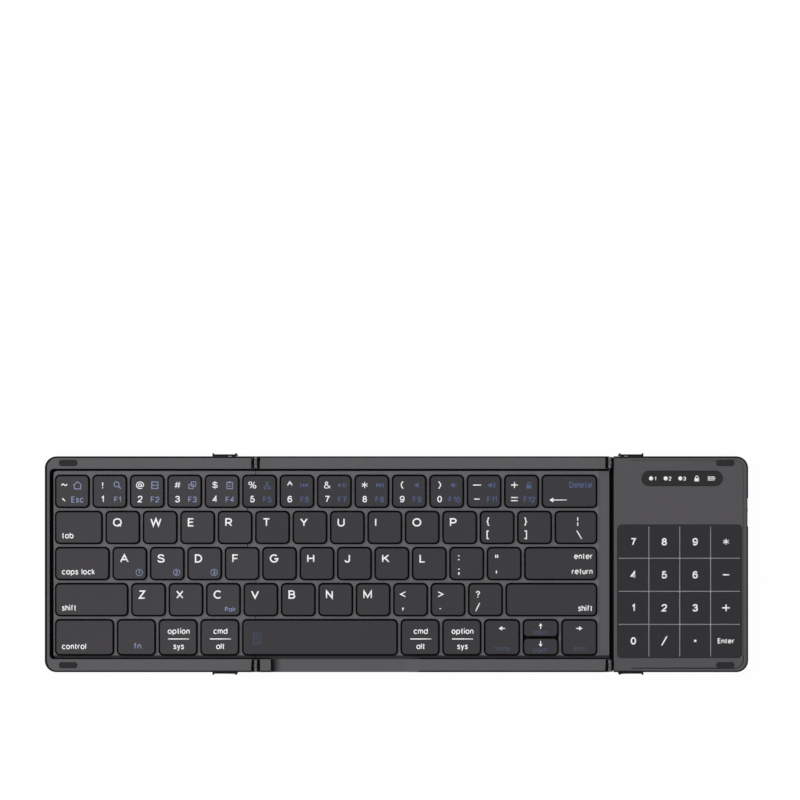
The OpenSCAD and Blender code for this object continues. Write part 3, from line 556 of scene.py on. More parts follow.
def bend(*points):
    """A smooth curve through points, three steps a span."""
    ends = (points[0],) + points + (points[-1],)
    curve = []
    for a, b, c, d in zip(ends, ends[1:], ends[2:], ends[3:]):
        for t in (0, 1 / 3, 2 / 3):
            curve.append(tuple(
                b[i] + 0.5 * t * (c[i] - a[i] + t * (2 * a[i] - 5 * b[i] + 4 * c[i] - d[i]
                                                     + t * (3 * b[i] - a[i] - 3 * c[i] + d[i])))
                for i in (0, 1)))
    return curve + [points[-1]]


def dot(x, y, r=0.1):
    return [(x, y - r), (x, y + r)]


def mirrored(width, strokes):
    return width, [[(width - x, y) for x, y in reversed(stroke)] for stroke in strokes]


POST = [(0, 0), (0, 1)]
BOWL = oval(.36, .36, .36, .36, 16)
ARCH = arc(.28, .44, .28, .28, 180, 0) + [(.56, 0)]
SIX = bend((.54, .8), (.46, .96), (.3, 1), (.1, .88), (0, .55), (0, .35), (.08, .08), (.29, 0),
           (.5, .1), (.58, .32), (.5, .54), (.3, .62), (.1, .52), (0, .36))
ESS = bend((.64, .76), (.55, .94), (.33, 1), (.1, .92), (.04, .74), (.14, .59), (.34, .52),
           (.56, .44), (.67, .28), (.6, .08), (.34, 0), (.1, .06), (0, .26))
HOOK = bend((.02, .76), (.1, .94), (.28, 1), (.48, .94), (.54, .76), (.46, .59), (.22, .53))
BRACE = bend((.42, 1.2), (.24, 1.12), (.19, .9), (.16, .64), (0, .5), (.16, .36), (.19, .1),
             (.24, -.12), (.42, -.2))
BRACKET = [(.36, 1.2), (0, 1.2), (0, -.2), (.36, -.2)]
LOOP = [(0, .44), (0, 1), (.34, 1)] + arc(.34, .72, .28, .28, 90, -90)[1:] + [(0, .44)]
ROUND = bend((.3, 1.15), (.07, .8), (0, .5), (.07, .2), (.3, -.15))

# Each glyph is its width and its strokes, along the middle of the pen, in heights of a capital
GLYPHS = {
    " ": (.3, []),
    "A": (.84, [[(0, 0), (.42, 1), (.84, 0)], [(.15, .34), (.69, .34)]]),
    "B": (.62, [[(0, .53), (0, 1), (.34, 1)] + arc(.34, .765, .235, .235, 90, -90)[1:]
                + [(0, .53)],
                [(0, 0), (0, .53), (.36, .53)] + arc(.36, .265, .265, .265, 90, -90)[1:]
                + [(0, 0)]]),
    "C": (.72, [arc(.42, .5, .42, .5, 45, 315, 14)]),
    "D": (.68, [[(0, 0), (0, 1), (.26, 1)] + arc(.26, .5, .42, .5, 90, -90, 10)[1:] + [(0, 0)]]),
    "E": (.58, [[(.58, 1), (0, 1), (0, 0), (.58, 0)], [(0, .52), (.52, .52)]]),
    "F": (.56, [[(.56, 1), (0, 1), (0, 0)], [(0, .5), (.5, .5)]]),
    "G": (.84, [arc(.42, .5, .42, .5, 45, 330, 14) + [(.84, .46), (.46, .46)]]),
    "H": (.66, [POST, [(.66, 0), (.66, 1)], [(0, .52), (.66, .52)]]),
    "I": (0, [POST]),
    "J": (.46, [[(.46, 1), (.46, .25)] + arc(.23, .25, .23, .25, 0, -180)[1:]]),
    "K": (.68, [POST, [(.66, 1), (.02, .36)], [(.24, .6), (.7, 0)]]),
    "L": (.52, [[(0, 1), (0, 0), (.52, 0)]]),
    "M": (.82, [[(0, 0), (0, 1), (.41, .12), (.82, 1), (.82, 0)]]),
    "N": (.64, [[(0, 0), (0, 1), (.64, 0), (.64, 1)]]),
    "O": (.86, [oval(.43, .5, .43, .5, 20)]),
    "P": (.62, [LOOP, [(0, .44), (0, 0)]]),
    "Q": (.86, [oval(.43, .5, .43, .5, 20), [(.54, .24), (.84, -.06)]]),
    "R": (.66, [LOOP, [(0, .44), (0, 0)], [(.33, .44), (.64, 0)]]),
    "S": (.67, [ESS]),
    "T": (.7, [[(0, 1), (.7, 1)], [(.35, 1), (.35, 0)]]),
    "U": (.66, [[(0, 1), (0, .32)] + arc(.33, .32, .33, .32, 180, 360)[1:] + [(.66, 1)]]),
    "V": (.76, [[(0, 1), (.38, 0), (.76, 1)]]),
    "W": (1.1, [[(0, 1), (.26, 0), (.55, 1), (.84, 0), (1.1, 1)]]),
    "X": (.68, [[(0, 0), (.68, 1)], [(0, 1), (.68, 0)]]),
    "Y": (.72, [[(0, 1), (.36, .42), (.72, 1)], [(.36, .42), (.36, 0)]]),
    "Z": (.62, [[(0, 1), (.6, 1), (0, 0), (.62, 0)]]),
    "0": (.58, [oval(.29, .5, .29, .5, 16)]),
    "1": (.26, [[(0, .76), (.24, 1), (.24, 0)]]),
    "2": (.58, [bend((0, .7), (.06, .92), (.29, 1), (.52, .93), (.57, .72), (.48, .5), (.2, .24),
                     (0, 0)) + [(.58, 0)]]),
    "3": (.58, [HOOK, bend((.22, .53), (.48, .48), (.58, .28), (.48, .06), (.28, 0), (.08, .05),
                           (0, .26))]),
    "4": (.6, [[(.44, 0), (.44, 1), (0, .3), (.6, .3)]]),
    "5": (.58, [[(.52, 1), (.12, 1)] + bend((.06, .52), (.28, .62), (.5, .54), (.58, .32),
                                           (.48, .07), (.26, 0), (.08, .05), (0, .24))]),
    "6": (.58, [SIX]),
    "7": (.58, [[(0, 1)] + bend((.58, 1), (.36, .6), (.2, 0))]),
    "8": (.56, [oval(.28, .77, .23, .23, 14), oval(.28, .27, .28, .27, 14)]),
    "9": (.58, [[(.58 - x, 1 - y) for x, y in SIX]]),
    "a": (.72, [BOWL, [(.72, .72), (.72, 0)]]),
    "b": (.72, [BOWL, [(0, 1), (0, 0)]]),
    "c": (.62, [arc(.36, .36, .36, .36, 45, 315, 12)]),
    "d": (.72, [BOWL, [(.72, 1), (.72, 0)]]),
    "e": (.72, [[(0, .36)] + arc(.36, .36, .36, .36, 0, 310, 14)]),
    "f": (.38, [[(0, .72), (.38, .72)], arc(.36, .8, .2, .2, 90, 180, 5) + [(.16, 0)]]),
    "g": (.72, [BOWL, [(.72, .72), (.72, 0)] + arc(.38, 0, .34, .3, 0, -140)[1:]]),
    "h": (.56, [POST, ARCH]),
    "i": (0, [[(0, 0), (0, .72)], dot(0, .98)]),
    "k": (.5, [POST, [(.46, .72), (.03, .28)], [(.18, .44), (.5, 0)]]),
    "l": (0, [POST]),
    "m": (.96, [[(0, 0), (0, .72)], arc(.24, .48, .24, .24, 180, 0) + [(.48, 0)],
                arc(.72, .48, .24, .24, 180, 0) + [(.96, 0)]]),
    "n": (.56, [[(0, 0), (0, .72)], ARCH]),
    "o": (.72, [BOWL]),
    "p": (.72, [BOWL, [(0, .72), (0, -.3)]]),
    "r": (.34, [[(0, 0), (0, .72)], arc(.3, .42, .3, .3, 180, 80, 5)]),
    "s": (.46, [bend((.44, .56), (.36, .69), (.22, .72), (.07, .66), (.05, .52), (.16, .42),
                     (.34, .34), (.46, .19), (.39, .04), (.22, 0), (.07, .03), (0, .16))]),
    "t": (.36, [[(0, .72), (.36, .72)], [(.14, .96)] + arc(.3, .16, .16, .16, 180, 270, 5)]),
    "u": (.56, [[(0, .72)] + arc(.28, .28, .28, .28, 180, 360), [(.56, .72), (.56, 0)]]),
    "y": (.58, [[(0, .72), (.3, .02)], [(.58, .72), (.22, -.24), (.06, -.3)]]),
    "!": (0, [[(0, 1), (0, .3)], dot(0, 0)]),
    "@": (1, [oval(.47, .46, .2, .23, 12),
              [(.67, .7), (.67, .34), (.78, .24), (.92, .3)] + arc(.5, .46, .5, .54, 0, 305, 16)]),
    "#": (.8, [[(.3, 1), (.16, 0)], [(.66, 1), (.52, 0)], [(.06, .68), (.8, .68)],
               [(0, .32), (.74, .32)]]),
    "$": (.67, [[(x, .08 + .84 * y) for x, y in ESS], [(.33, 1.1), (.33, -.1)]]),
    "%": (1, [oval(.2, .77, .2, .23, 12), oval(.8, .23, .2, .23, 12), [(.8, 1), (.2, 0)]]),
    "^": (.66, [[(0, .45), (.33, 1), (.66, .45)]]),
    "&": (.84, [[(.84, 0)] + bend((.2, .68), (.15, .86), (.3, 1), (.47, .9), (.44, .7), (.16, .48),
                                  (.02, .26), (.12, .04), (.34, 0), (.6, .1), (.78, .42))]),
    "*": (.8, [[(.4, 1), (.4, 0)], [(0, .27), (.8, .73)], [(0, .73), (.8, .27)]]),
    "(": (.3, [ROUND]),
    ")": mirrored(.3, [ROUND]),
    "–": (1.3, [[(0, .5), (1.3, .5)]]),
    "-": (.9, [[(0, .5), (.9, .5)]]),
    "+": (1.1, [[(0, .5), (1.1, .5)], [(.55, 1.05), (.55, -.05)]]),
    "=": (1.1, [[(0, .79), (1.1, .79)], [(0, .21), (1.1, .21)]]),
    "{": (.42, [BRACE]),
    "}": mirrored(.42, [BRACE]),
    "[": (.36, [BRACKET]),
    "]": mirrored(.36, [BRACKET]),
    "|": (0, [[(0, 1.3), (0, .62)], [(0, .38), (0, -.3)]]),
    "\\": (.9, [[(0, 1.25), (.9, -.25)]]),
    "/": (.75, [[(0, -.25), (.75, 1.25)]]),
    ":": (.08, [dot(0, .15), dot(0, .85), dot(.08, .15), dot(.08, .85)]),
    ";": (.12, [dot(.04, .85), dot(.12, .85), dot(.04, .2),
                [(.12, .3), (.12, .08), (0, -.2)]]),
    '"': (.7, [[(.05, .95), (.05, .05)], [(.65, .95), (.65, .05)]]),
    "'": (0, [[(0, .9), (0, .1)]]),
    "<": (.9, [[(.9, .95), (0, .5), (.9, .05)]]),
    ">": (.9, [[(0, .95), (.9, .5), (0, .05)]]),
    ",": (.14, [dot(.06, .3), [(.14, .4), (.14, .2), (0, -.1)]]),
    ".": (.08, [dot(0, .2), dot(.08, .2)]),
    "?": (.56, [bend((0, .74), (.08, .94), (.28, 1), (.48, .94), (.56, .76), (.46, .58),
                     (.31, .46), (.28, .28)), dot(.28, 0)]),
    "~": (1, [bend((0, .38), (.14, .58), (.3, .62), (.5, .5), (.7, .38), (.86, .42), (1, .62))]),
    "`": (.55, [[(0, .78), (.55, .22)]]),
    "·": (.14, [dot(0, .5, .18), dot(.14, .5, .18)]),
}


# ---------- keycaps ----------
# These sizes are millimetres; the homing bar is half its length and width.

KEY_TAPER = 0.12
KEY_FILLET = 0.42
KEY_RADIUS = 1.8
KEY_WALL = 0.9
KEY_TOP = 1.1
KEY_DISH = 0.10
FOOT_BEVEL = (0.04, 0.05)
FILLET_STEPS = 4
DISH_INSETS = (0.9, 1.5, 2.3, 3.2, 4.2, 5.4, 6.6)
HOMING_KEYS = {"letter_keys_asdf": 3, "letter_keys_ghjkl": 2}
HOMING_BAR = Vector((1.6, 0.225, 0))
HOMING_AT = 2.225
HOMING_SINK = 0.3


def keycap(bm, low, high):
    """A keycap with a rounded upper edge, a faintly dished top and a hollow underside."""
    x, y = middle_of(low, high)
    w, d = high.x - low.x, high.y - low.y
    top, base = high.z, low.z

    def dish(at):
        u, v = (at[0] - x) / (w / 2), (at[1] - y) / (d / 2)
        return top - KEY_DISH * MM * max(0.0, 1 - u ** 4) * max(0.0, 1 - v ** 2)

    def level(inset, radius, z):
        return ring(bm, x, y, w - 2 * inset * MM, d - 2 * inset * MM, radius * MM, z)

    profile = [(FOOT_BEVEL[0], base), (0.0, base + FOOT_BEVEL[1] * MM)]
    for step in range(FILLET_STEPS + 1):
        angle = math.pi / 2 * step / FILLET_STEPS
        profile.append((KEY_TAPER + KEY_FILLET * (1 - math.cos(angle)),
                        top - KEY_FILLET * MM * (1 - math.sin(angle))))
    rings = [level(inset, KEY_RADIUS - inset * 0.6, z) for inset, z in profile]
    rings += [level(inset, max(KEY_RADIUS - inset * 0.5, 0.2), dish)
              for inset in DISH_INSETS if inset * MM < d / 2 - 0.3 * MM]
    # The foot, the sides and the lower fillet take the second paint, a near-black painted shade;
    # the top keeps the cap's paint
    for i, (lower, upper) in enumerate(zip(rings, rings[1:])):
        bridge(bm, lower, upper, material=int(i < FILLET_STEPS + 1))
    bm.faces.new(rings[-1])
    inner_low = level(KEY_WALL, KEY_RADIUS - KEY_WALL / 2, base)
    inner_high = level(KEY_WALL, KEY_RADIUS - KEY_WALL / 2, top - KEY_TOP * MM)
    bridge(bm, inner_low, rings[0], material=1)
    bridge(bm, inner_high, inner_low, material=1)
    bm.faces.new(inner_high[::-1]).material_index = 1


def make_keycaps(node):
    """The caps of one key body; returns their boxes and the height of their tops."""
    bm = bmesh.new()
    parts = loose_parts(node)
    for low, high in parts:
        keycap(bm, low, high)
    bm.normal_update()
    tree = BVHTree.FromBMesh(bm)
    if node in HOMING_KEYS:
        low, high = parts[HOMING_KEYS[node]]
        x, _ = middle_of(low, high)
        foot = Vector((x, low.y + HOMING_AT * MM, high.z - HOMING_SINK * MM))
        head = Vector((x, foot.y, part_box(node)[1].z))
        slab(bm, foot - HOMING_BAR * MM, head + HOMING_BAR * MM)
    # Caps on the left panel take the lighter tone, which is painted light from the left
    paint = LEFT_KEY_LIT if PARENT_OF[node] == "left_panel" else KEY
    add_object(node + "_caps", bm, [paint, KEY_SIDE_SHADE], node, [node], "keycap", even=True)

    def height_at(x, y):
        return tree.ray_cast(Vector((x, y, 1.0)), Vector((0, 0, -1)))[0].z

    return parts, height_at


# ---------- what is printed on each key ----------
# A spot is one cap's (left, right, front, rear). Across and down are millimetres from its left
# rear corner, heights of words are millimetres, and a style is more of what Marks.text takes.

LETTER_AT = (3.05, 4.85)
LETTER_HEIGHT = 3.85
SIGN_HEIGHT, FINE_HEIGHT = 3.0, 3.4
WORD_HEIGHT = 2.75
WORD_STYLE = {"bold": 0.16, "wide": 0.88, "gap": 0.08}
SMALL_STYLE = {"ink": TINTED_INK, "bold": 0.15, "wide": 0.9, "gap": 0.06}
NAME_STYLE = {"ink": TINTED_INK, "bold": 0.15}


def spot_at(spot, across, down):
    return spot[0] + across * MM, spot[3] - down * MM


def write(m, spot, words, across, down, height, **style):
    m.text(words, *spot_at(spot, across, down), height * MM, **style)


def middle(spot):
    """How far the cap's middle lies from its left edge, in millimetres."""
    return (spot[1] - spot[0]) / 2 / MM


def icon_home(icon):
    icon.line((-2.0, 0.1), (0, 1.65), (2.0, 0.1))
    icon.line((-1.45, 0.3), (-1.45, -1.6), (1.45, -1.6), (1.45, 0.3))


def icon_search(icon):
    icon.curve(-0.4, 0.4, 1.15)
    icon.line((0.45, -0.45), (1.6, -1.6), pen=1.3)


def icon_window(icon):
    icon.frame(-1.4, -1.5, 1.4, 1.5)
    icon.line((-1.3, 0), (1.3, 0))


def icon_copy(icon):
    for step in (-0.55, 0.55):
        icon.frame(step - 1, step - 1, step + 1, step + 1, pen=0.8)


def icon_paste(icon):
    icon.frame(-1.3, -1.6, 1.3, 1.3, pen=0.9)
    icon.box(-0.6, 1.0, 0.6, 1.75)
    for y in (-0.6, 0.1):
        icon.line((-0.7, y), (0.7, y), pen=0.6)


def icon_cut(icon):
    for side in (-1, 1):
        icon.line((-side * 0.75, -0.7), (side * 0.7, 1.75), pen=0.9)
        icon.curve(side * 0.95, -1.15, 0.55, steps=12, pen=0.8)


def triangle(icon, x, way):
    points = [(x - way * 0.75, -1.0), (x + way * 0.75, 0), (x - way * 0.75, 1.0)]
    icon.shape(*points[::way])


def icon_skip(way):
    def draw(icon):
        triangle(icon, way * 0.7, way)
        triangle(icon, -way * 0.8, way)
        icon.line((way * 1.75, -1), (way * 1.75, 1))
    return draw


def icon_play(icon):
    triangle(icon, -0.9, 1)
    for x in (0.5, 1.35):
        icon.line((x, -1), (x, 1))


def icon_speaker(waves):
    def draw(icon):
        left = -1.7 if waves else -1.0
        icon.box(left, -0.5, left + 0.7, 0.5)
        icon.shape((left + 0.7, -0.55), (left + 1.7, -1.3), (left + 1.7, 1.3), (left + 0.7, 0.55))
        for wave in range(waves):
            icon.curve(left + 1.6, 0, 0.85 + 0.75 * wave, -48, 48, 8, pen=0.8)
    return draw


def icon_lock(icon):
    icon.box(-1.25, -1.6, 1.25, 0.2)
    icon.curve(0, 0.45, 0.85, 0, 180, 10)


def icon_grid(icon):
    icon.frame(-1.8, -2.5, 1.8, 2.5, pen=0.7)
    for row in range(4):
        for column in range(3):
            x, y = (column - 1) * 1.05, (row - 1.5) * 1.15
            icon.box(x - 0.32, y - 0.32, x + 0.32, y + 0.32)


def arrow(icon, way, length, head):
    """An arrow about the icon's middle; way is the direction of its head, which is head wide."""
    along = Vector(way)
    across = Vector((-along.y, along.x)) * head / 2
    tip = along * length / 2
    icon.line(-tip, tip - along * head * 0.6, pen=1.1)
    icon.shape(tip - along * head * 0.8 - across, tip, tip - along * head * 0.8 + across)


def letter(m, spot, char):
    write(m, spot, char, *LETTER_AT, LETTER_HEIGHT, align="LEFT", wide=1.25)


def pair(m, spot, upper, lower, places=((4.3, 4.3), (4.3, 10.7)), wide=1.0):
    for char, at in zip((upper, lower), places):
        fine = char in FINE_SIGNS + "^"
        write(m, spot, char, *at, FINE_HEIGHT if fine else SIGN_HEIGHT,
              wide=1.15 if fine else wide)


def number(m, spot, upper, lower, name, icon):
    pair(m, spot, upper, lower, wide=1.15)
    write(m, spot, name, 11.1, 10.9, 2.65, wide=1.1, **NAME_STYLE)
    icon(Icon(m, *spot_at(spot, 11.0, 4.4)))


def word(m, spot, text, side, base):
    """A word by the cap's left or right edge; base is its baseline's distance from the front."""
    x = spot[0] + 2.8 * MM if side < 0 else spot[1] - 1.75 * MM
    y = spot[2] + (base + WORD_HEIGHT / 2) * MM
    m.text(text, x, y, WORD_HEIGHT * MM, align="LEFT" if side < 0 else "RIGHT",
           **{**WORD_STYLE, "wide": 0.86})


def stacked(m, spot, upper, lower):
    """Two words with a bar between them."""
    across = middle(spot) + 0.3
    write(m, spot, upper, across, 5.0, WORD_HEIGHT, **WORD_STYLE)
    write(m, spot, lower, across, 11.9, WORD_HEIGHT, **WORD_STYLE)
    Icon(m, *spot_at(spot, across, 8.6), PLAIN_INK).box(-4.8, -0.24, 4.8, 0.24)


def ringed(m, spot, char, digit):
    letter(m, spot, char)
    icon = Icon(m, *spot_at(spot, 11.8, 11.2))
    icon.curve(0, 0, 1.45, steps=24, pen=0.7)
    icon.text(digit, 0, 0, 1.7, bold=0.2)


def print_left_numbers(m, spots):
    first = spots[0]
    pair(m, first, "~", "`", ((3.9, 4.2), (3.7, 11.0)))
    write(m, first, "Esc", 9.9, 10.9, 2.8, wide=0.95, **NAME_STYLE)
    icon_home(Icon(m, *spot_at(first, 9.9, 4.5)))
    keys(number, ("!", "1", "F1", icon_search), ("@", "2", "F2", icon_window),
         ("#", "3", "F3", icon_copy), ("$", "4", "F4", icon_paste))(m, spots[1:])


def print_backspace(m, spots):
    spot = spots[0]
    arrow(Icon(m, *spot_at(spot, 7.1, 11.1), PLAIN_INK), (-1, 0), 7.9, 2.3)
    write(m, spot, "Delete", 2 * middle(spot) - 7.1, 4.2, 2.9, **{**SMALL_STYLE, "wide": 0.88})


def print_semicolon_quote(m, spots):
    pair(m, spots[0], ":", ";", ((3.9, 4.5), (3.9, 10.6)), 1.2)
    for char, at in (('"', (4.1, 3.9)), ("'", (4.0, 11.0))):
        write(m, spots[1], char, *at, 2.2, bold=0.26, wide=0.85)


def print_enter(m, spots):
    depth = (spots[0][3] - spots[0][2]) / MM
    word(m, spots[0], "enter", 1, depth - 5.15)
    word(m, spots[0], "return", 1, depth - 12.05)


def print_asdf(m, spots):
    keys(ringed, *zip("ASD", "123"))(m, spots)
    letter(m, spots[3], "F")


def print_zxc(m, spots):
    keys(letter, *"ZXC")(m, spots)
    write(m, spots[2], "Pair", 10.7, 11.5, 2.1, **NAME_STYLE)


def print_left_modifiers(m, spots):
    spot = spots[0]
    m.text("fn", spot[0] + 9.0 * MM, spot[2] + 4.05 * MM, WORD_HEIGHT * MM, TINTED_INK)
    keys(stacked, ("option", "sys"), ("cmd", "alt"))(m, spots[1:])


def print_space(m, spots):
    icon_grid(Icon(m, *spot_at(spots[0], 6.5, 8.4)))


def arrow_key(way, words, arrow_down, words_down, length, head):
    """An arrow and a word under or over it, both on the cap's middle line."""
    def draw(m, spots):
        across = middle(spots[0])
        arrow(Icon(m, *spot_at(spots[0], across, arrow_down), PLAIN_INK), way, length, head)
        write(m, spots[0], words, across, words_down, 2.3, **SMALL_STYLE)
    return draw


def keys(draw_one, *rows):
    """Draws each cap of a body with its own row of what draw_one takes."""
    def draw(m, spots):
        for spot, row in zip(spots, rows):
            draw_one(m, spot, *row)
    return draw


NUMBERS_CENTER = [("%", "5", "F5", icon_cut), ("^", "6", "F6", icon_skip(-1)),
                  ("&", "7", "F7", icon_play), ("*", "8", "F8", icon_skip(1)),
                  ("(", "9", "F9", icon_speaker(0)), (")", "0", "F10", icon_speaker(1))]
NUMBERS_RIGHT = [("–", "-", "F11", icon_speaker(2)), ("+", "=", "F12", icon_lock)]
TALL_ARROW_KEY = (3.8, 12.8, 3.0, 2.05)
FLAT_ARROW_KEY = (2.7, 5.3, 2.7, 1.7)
COMMA_AT = ((4.1, 4.7), (4.0, 10.5))
BRACKET_AT = ((3.4, 4.5), (3.4, 10.5))
BAR_AT = ((10.1, 4.5), (10.8, 10.5))
PRINTS = {
    "number_keys_left": print_left_numbers,
    "number_keys_center": keys(number, *NUMBERS_CENTER),
    "minus_equals_keys": keys(number, *NUMBERS_RIGHT),
    "backspace_key": print_backspace,
    "tab_key": keys(word, ("tab", -1, 2.2)),
    "letter_keys_qwer": keys(letter, *"QWER"),
    "letter_keys_tyuiop": keys(letter, *"TYUIOP"),
    "bracket_keys": keys(pair, ("{", "[", BRACKET_AT), ("}", "]", BRACKET_AT),
                         ("|", "\\", BAR_AT)),
    "caps_lock_key": keys(word, ("caps lock", -1, 2.2)),
    "letter_keys_asdf": print_asdf,
    "letter_keys_ghjkl": keys(letter, *"GHJKL"),
    "semicolon_quote_keys": print_semicolon_quote,
    "enter_key": print_enter,
    "left_shift_key": keys(word, ("shift", -1, 2.2)),
    "letter_keys_zxc": print_zxc,
    "letter_keys_vbnm": keys(letter, *"VBNM"),
    "comma_period_slash_keys": keys(pair, ("<", ",", COMMA_AT), (">", ".", COMMA_AT),
                                    ("?", "/", COMMA_AT)),
    "right_shift_key": keys(word, ("shift", 1, 2.0)),
    "control_key": keys(word, ("control", -1, 2.5)),
    "modifier_keys_left": print_left_modifiers,
    "space_bar": print_space,
    "modifier_keys_center": keys(stacked, ("cmd", "alt"), ("option", "sys")),
    "left_arrow_key": arrow_key((-1, 0), "home", *TALL_ARROW_KEY),
    "up_arrow_key": arrow_key((0, 1), "pgup", *FLAT_ARROW_KEY),
    "down_arrow_key": arrow_key((0, -1), "pgdn", *FLAT_ARROW_KEY),
    "right_arrow_key": arrow_key((1, 0), "end", *TALL_ARROW_KEY),
}


def make_keys():
    for node, draw in PRINTS.items():
        parts, height_at = make_keycaps(node)
        marks = Marks(height_at)
        draw(marks, [(low.x, high.x, low.y, high.y) for low, high in parts])
        faint = node == "space_bar" or node.endswith("arrow_key")
        tint = (BLUE if PARENT_OF[node] == "left_panel" else FAINT_BLUE if faint else DIM_BLUE)
        add_object(node + "_print", marks.bm, [WHITE, tint], node, slot="keycap")


# ---------- shells, plates and small parts ----------

EDGE_WIDENING = 0.5 * MM

# The paint of each zone of a top frame; the rails have the frame's own
# The recess, chamfer, front strip and scoop zones carry painted shade, the deck zone a painted
# highlight
ZONES = {"deck": DECK_PAINT_AND_HIGHLIGHT, "recess": RECESS_SHADE, "chamfer": EDGE_SHADE, "side": SIDE, "scoop": SCOOP_PAINT_AND_SHADE,
         "margin": MARGIN, "front_strip": FRONT_STRIP_SHADE}
ZONE_SLOTS = ["rail", *ZONES]

# Paint, width of the rounded edges in millimetres, and the nodes that have them
TOP_FINISHES = [
    (BODY, 0.16, ["center_top_frame", "left_top_frame"]),
    (LID, 0.14, ["right_top_cover"]),
]
FINISHES = [
    (COVER, 0.12, ["center_bottom_cover", "left_bottom_cover", "right_bottom_cover"]),
    (PAD, 0.12, ["touch_number_pad"]),
    (WINDOW, 0.10, ["indicator_window"]),
    (RUBBER, 0.15, ["center_feet", "left_feet", "right_feet"]),
    (RUBBER, 0.08, ["left_bumpers", "right_bumpers"]),
    (STAND, 0.12, ["left_stand", "right_stand"]),
    (STAND, 0.10, ["power_switch_slider"]),
    # The hinge leaves are near black as painted shade, but for a painted highlight on their tops
    (DARK_STRIP_AND_SHADE, 0.10, ["left_hinge_center_leaves", "left_hinge_panel_leaves",
                  "right_hinge_center_leaves", "right_hinge_panel_leaves"]),
]

# Paint of the pieces whose CAD mesh stays as it is
PLAIN = [
    (STEEL, ["left_hinge_pins", "right_hinge_pins", "center_switch_plate", "left_switch_plate"]),
    (BOARD, ["touch_sensor_board", "main_circuit_board"]),
    (FOIL, ["battery"]),
    (SHELL, ["charging_socket"]),
]


def depth_inside(at):
    """Distance of a point from the keyboard's rounded outline, seen from above."""
    dx, dy = min(at.x - LEFT_X, RIGHT_X - at.x), min(at.y - FRONT_Y, REAR_Y - at.y)
    if dx < CORNER_R and dy < CORNER_R:
        return CORNER_R - math.hypot(CORNER_R - dx, CORNER_R - dy)
    return min(dx, dy)


def widen_left_edge(bm):
    """Widens the chamfer along the left side, where the photograph shows a broad dark edge."""
    # The chamfer carries dark painted shade, so this widens that painted shade along the left side
    for vert in bm.verts:
        at = vert.co
        on_chamfer = at.z >= RAIL_Z - 0.05 * MM and abs(depth_inside(at) - CHAMFER) <= 0.1 * MM
        if on_chamfer and at.x <= LEFT_X + CORNER_R:
            y = max(FRONT_Y + CORNER_R, min(REAR_Y - CORNER_R, at.y))
            inwards = Vector((LEFT_X + CORNER_R - at.x, y - at.y)).normalized()
            step = EDGE_WIDENING * inwards.x ** 2
            at.x += inwards.x * step
            at.y += inwards.y * step


def zone_of(face, top, scooped):
    """The zone of a top frame that a face belongs to; scooped frames have the finger scoop."""
    at, up = face.calc_center_median(), face.normal.z
    if up < 0.985 and depth_inside(at) < 1.1 * MM:
        return "chamfer" if up > 0.1 else "side"
    if up > 0.75:
        if at.z > top - 0.1 * MM:
            return "rail"
        if at.z < DECK_Z - 0.15 * MM:
            return "recess"
        if scooped and at.y < DECK_FRONT:
            return "scoop"
        return "front_strip" if at.y < KEYS_FRONT else "margin" if at.x > KEYS_RIGHT else "deck"
    return "rail" if at.z > DECK_Z + 0.1 * MM and top > DECK_Z else "recess"


def finish_top(bm, node):
    """Splits a softened top frame at the borders of its zones and gives each face its zone."""
    score(bm, (KEYS_RIGHT, 0, 0), (1, 0, 0))
    for y in (KEYS_FRONT, DECK_FRONT):
        score(bm, (0, y, 0), (0, 1, 0))
    bm.normal_update()
    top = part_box(node)[1].z
    for face in bm.faces:
        zone = zone_of(face, top, node == "center_top_frame")
        face.material_index = ZONE_SLOTS.index(zone)
    return list(ZONES.values())


def finish_shell(bm, node):
    """Gives a hinge's up-facing barrel tops a painted highlight; the rest stays near-black painted
    shade.
    """
    bm.normal_update()
    if "hinge" not in node:
        return []
    for face in bm.faces:
        lit = face.normal.z > 0.86 and face.calc_center_median().z > RAIL_Z
        face.material_index = int(lit)
    return [BARREL_HIGHLIGHT]


def finish_solids():
    for finishes, finish in ((TOP_FINISHES, finish_top), (FINISHES, finish_shell)):
        for material, width, nodes in finishes:
            for node in nodes:
                bm = cad_bmesh(node)
                if node == "left_top_frame":
                    widen_left_edge(bm)
                soften(bm, width * MM)
                add_object(node + "_finished", bm, [material, *finish(bm, node)], BODY_OF[node],
                           [node], SLOT_OF[node], even=True)
    for material, nodes in PLAIN:
        for node in nodes:
            materials = NODES[node].data.materials
            materials.clear()
            materials.append(material)


# ---------- pieces that bend or give ----------

SHEET_THICK = 0.3 * MM

# Links deeper than DEEP_LINK have the large dome, and links within DOME_SPREAD share one
DOME_R, SMALL_DOME_R = 2.5 * MM, 1.3 * MM
DEEP_LINK = 9 * MM
DOME_SPREAD = 3 * MM


def bent(node, start, end, steps, material):
    """The CAD piece that bends between two bodies, cut into narrow steps along X from start to end.
    """
    bm = cad_bmesh(node)
    for i in range(steps + 1):
        score(bm, (start + (end - start) * i / steps, 0, 0), (1, 0, 0))
    obj = add_object(node + "_bending", bm, [material], replaces=[node], slot=SLOT_OF[node])
    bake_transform(obj)


def bending_pieces():
    low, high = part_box("right_hinge_strip")
    bent("right_hinge_strip", low.x, high.x, 8, DARK_STRIP_AND_SHADE)
    low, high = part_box("left_flex_cable")
    bent("left_flex_cable", high.x, low.x, 24, SHEET)


def flat_sheet(sheet, top, body):
    """The contact sheet without its domes."""
    bm = cad_bmesh(sheet)
    raised = [f for f in bm.faces if f.calc_center_median().z > top + 0.01 * MM]
    bmesh.ops.delete(bm, geom=raised, context="FACES")
    bmesh.ops.holes_fill(bm, edges=[e for e in bm.edges if e.is_boundary], sides=0)
    add_object(sheet + "_flat", bm, [SHEET], body, [sheet], SLOT_OF[sheet])


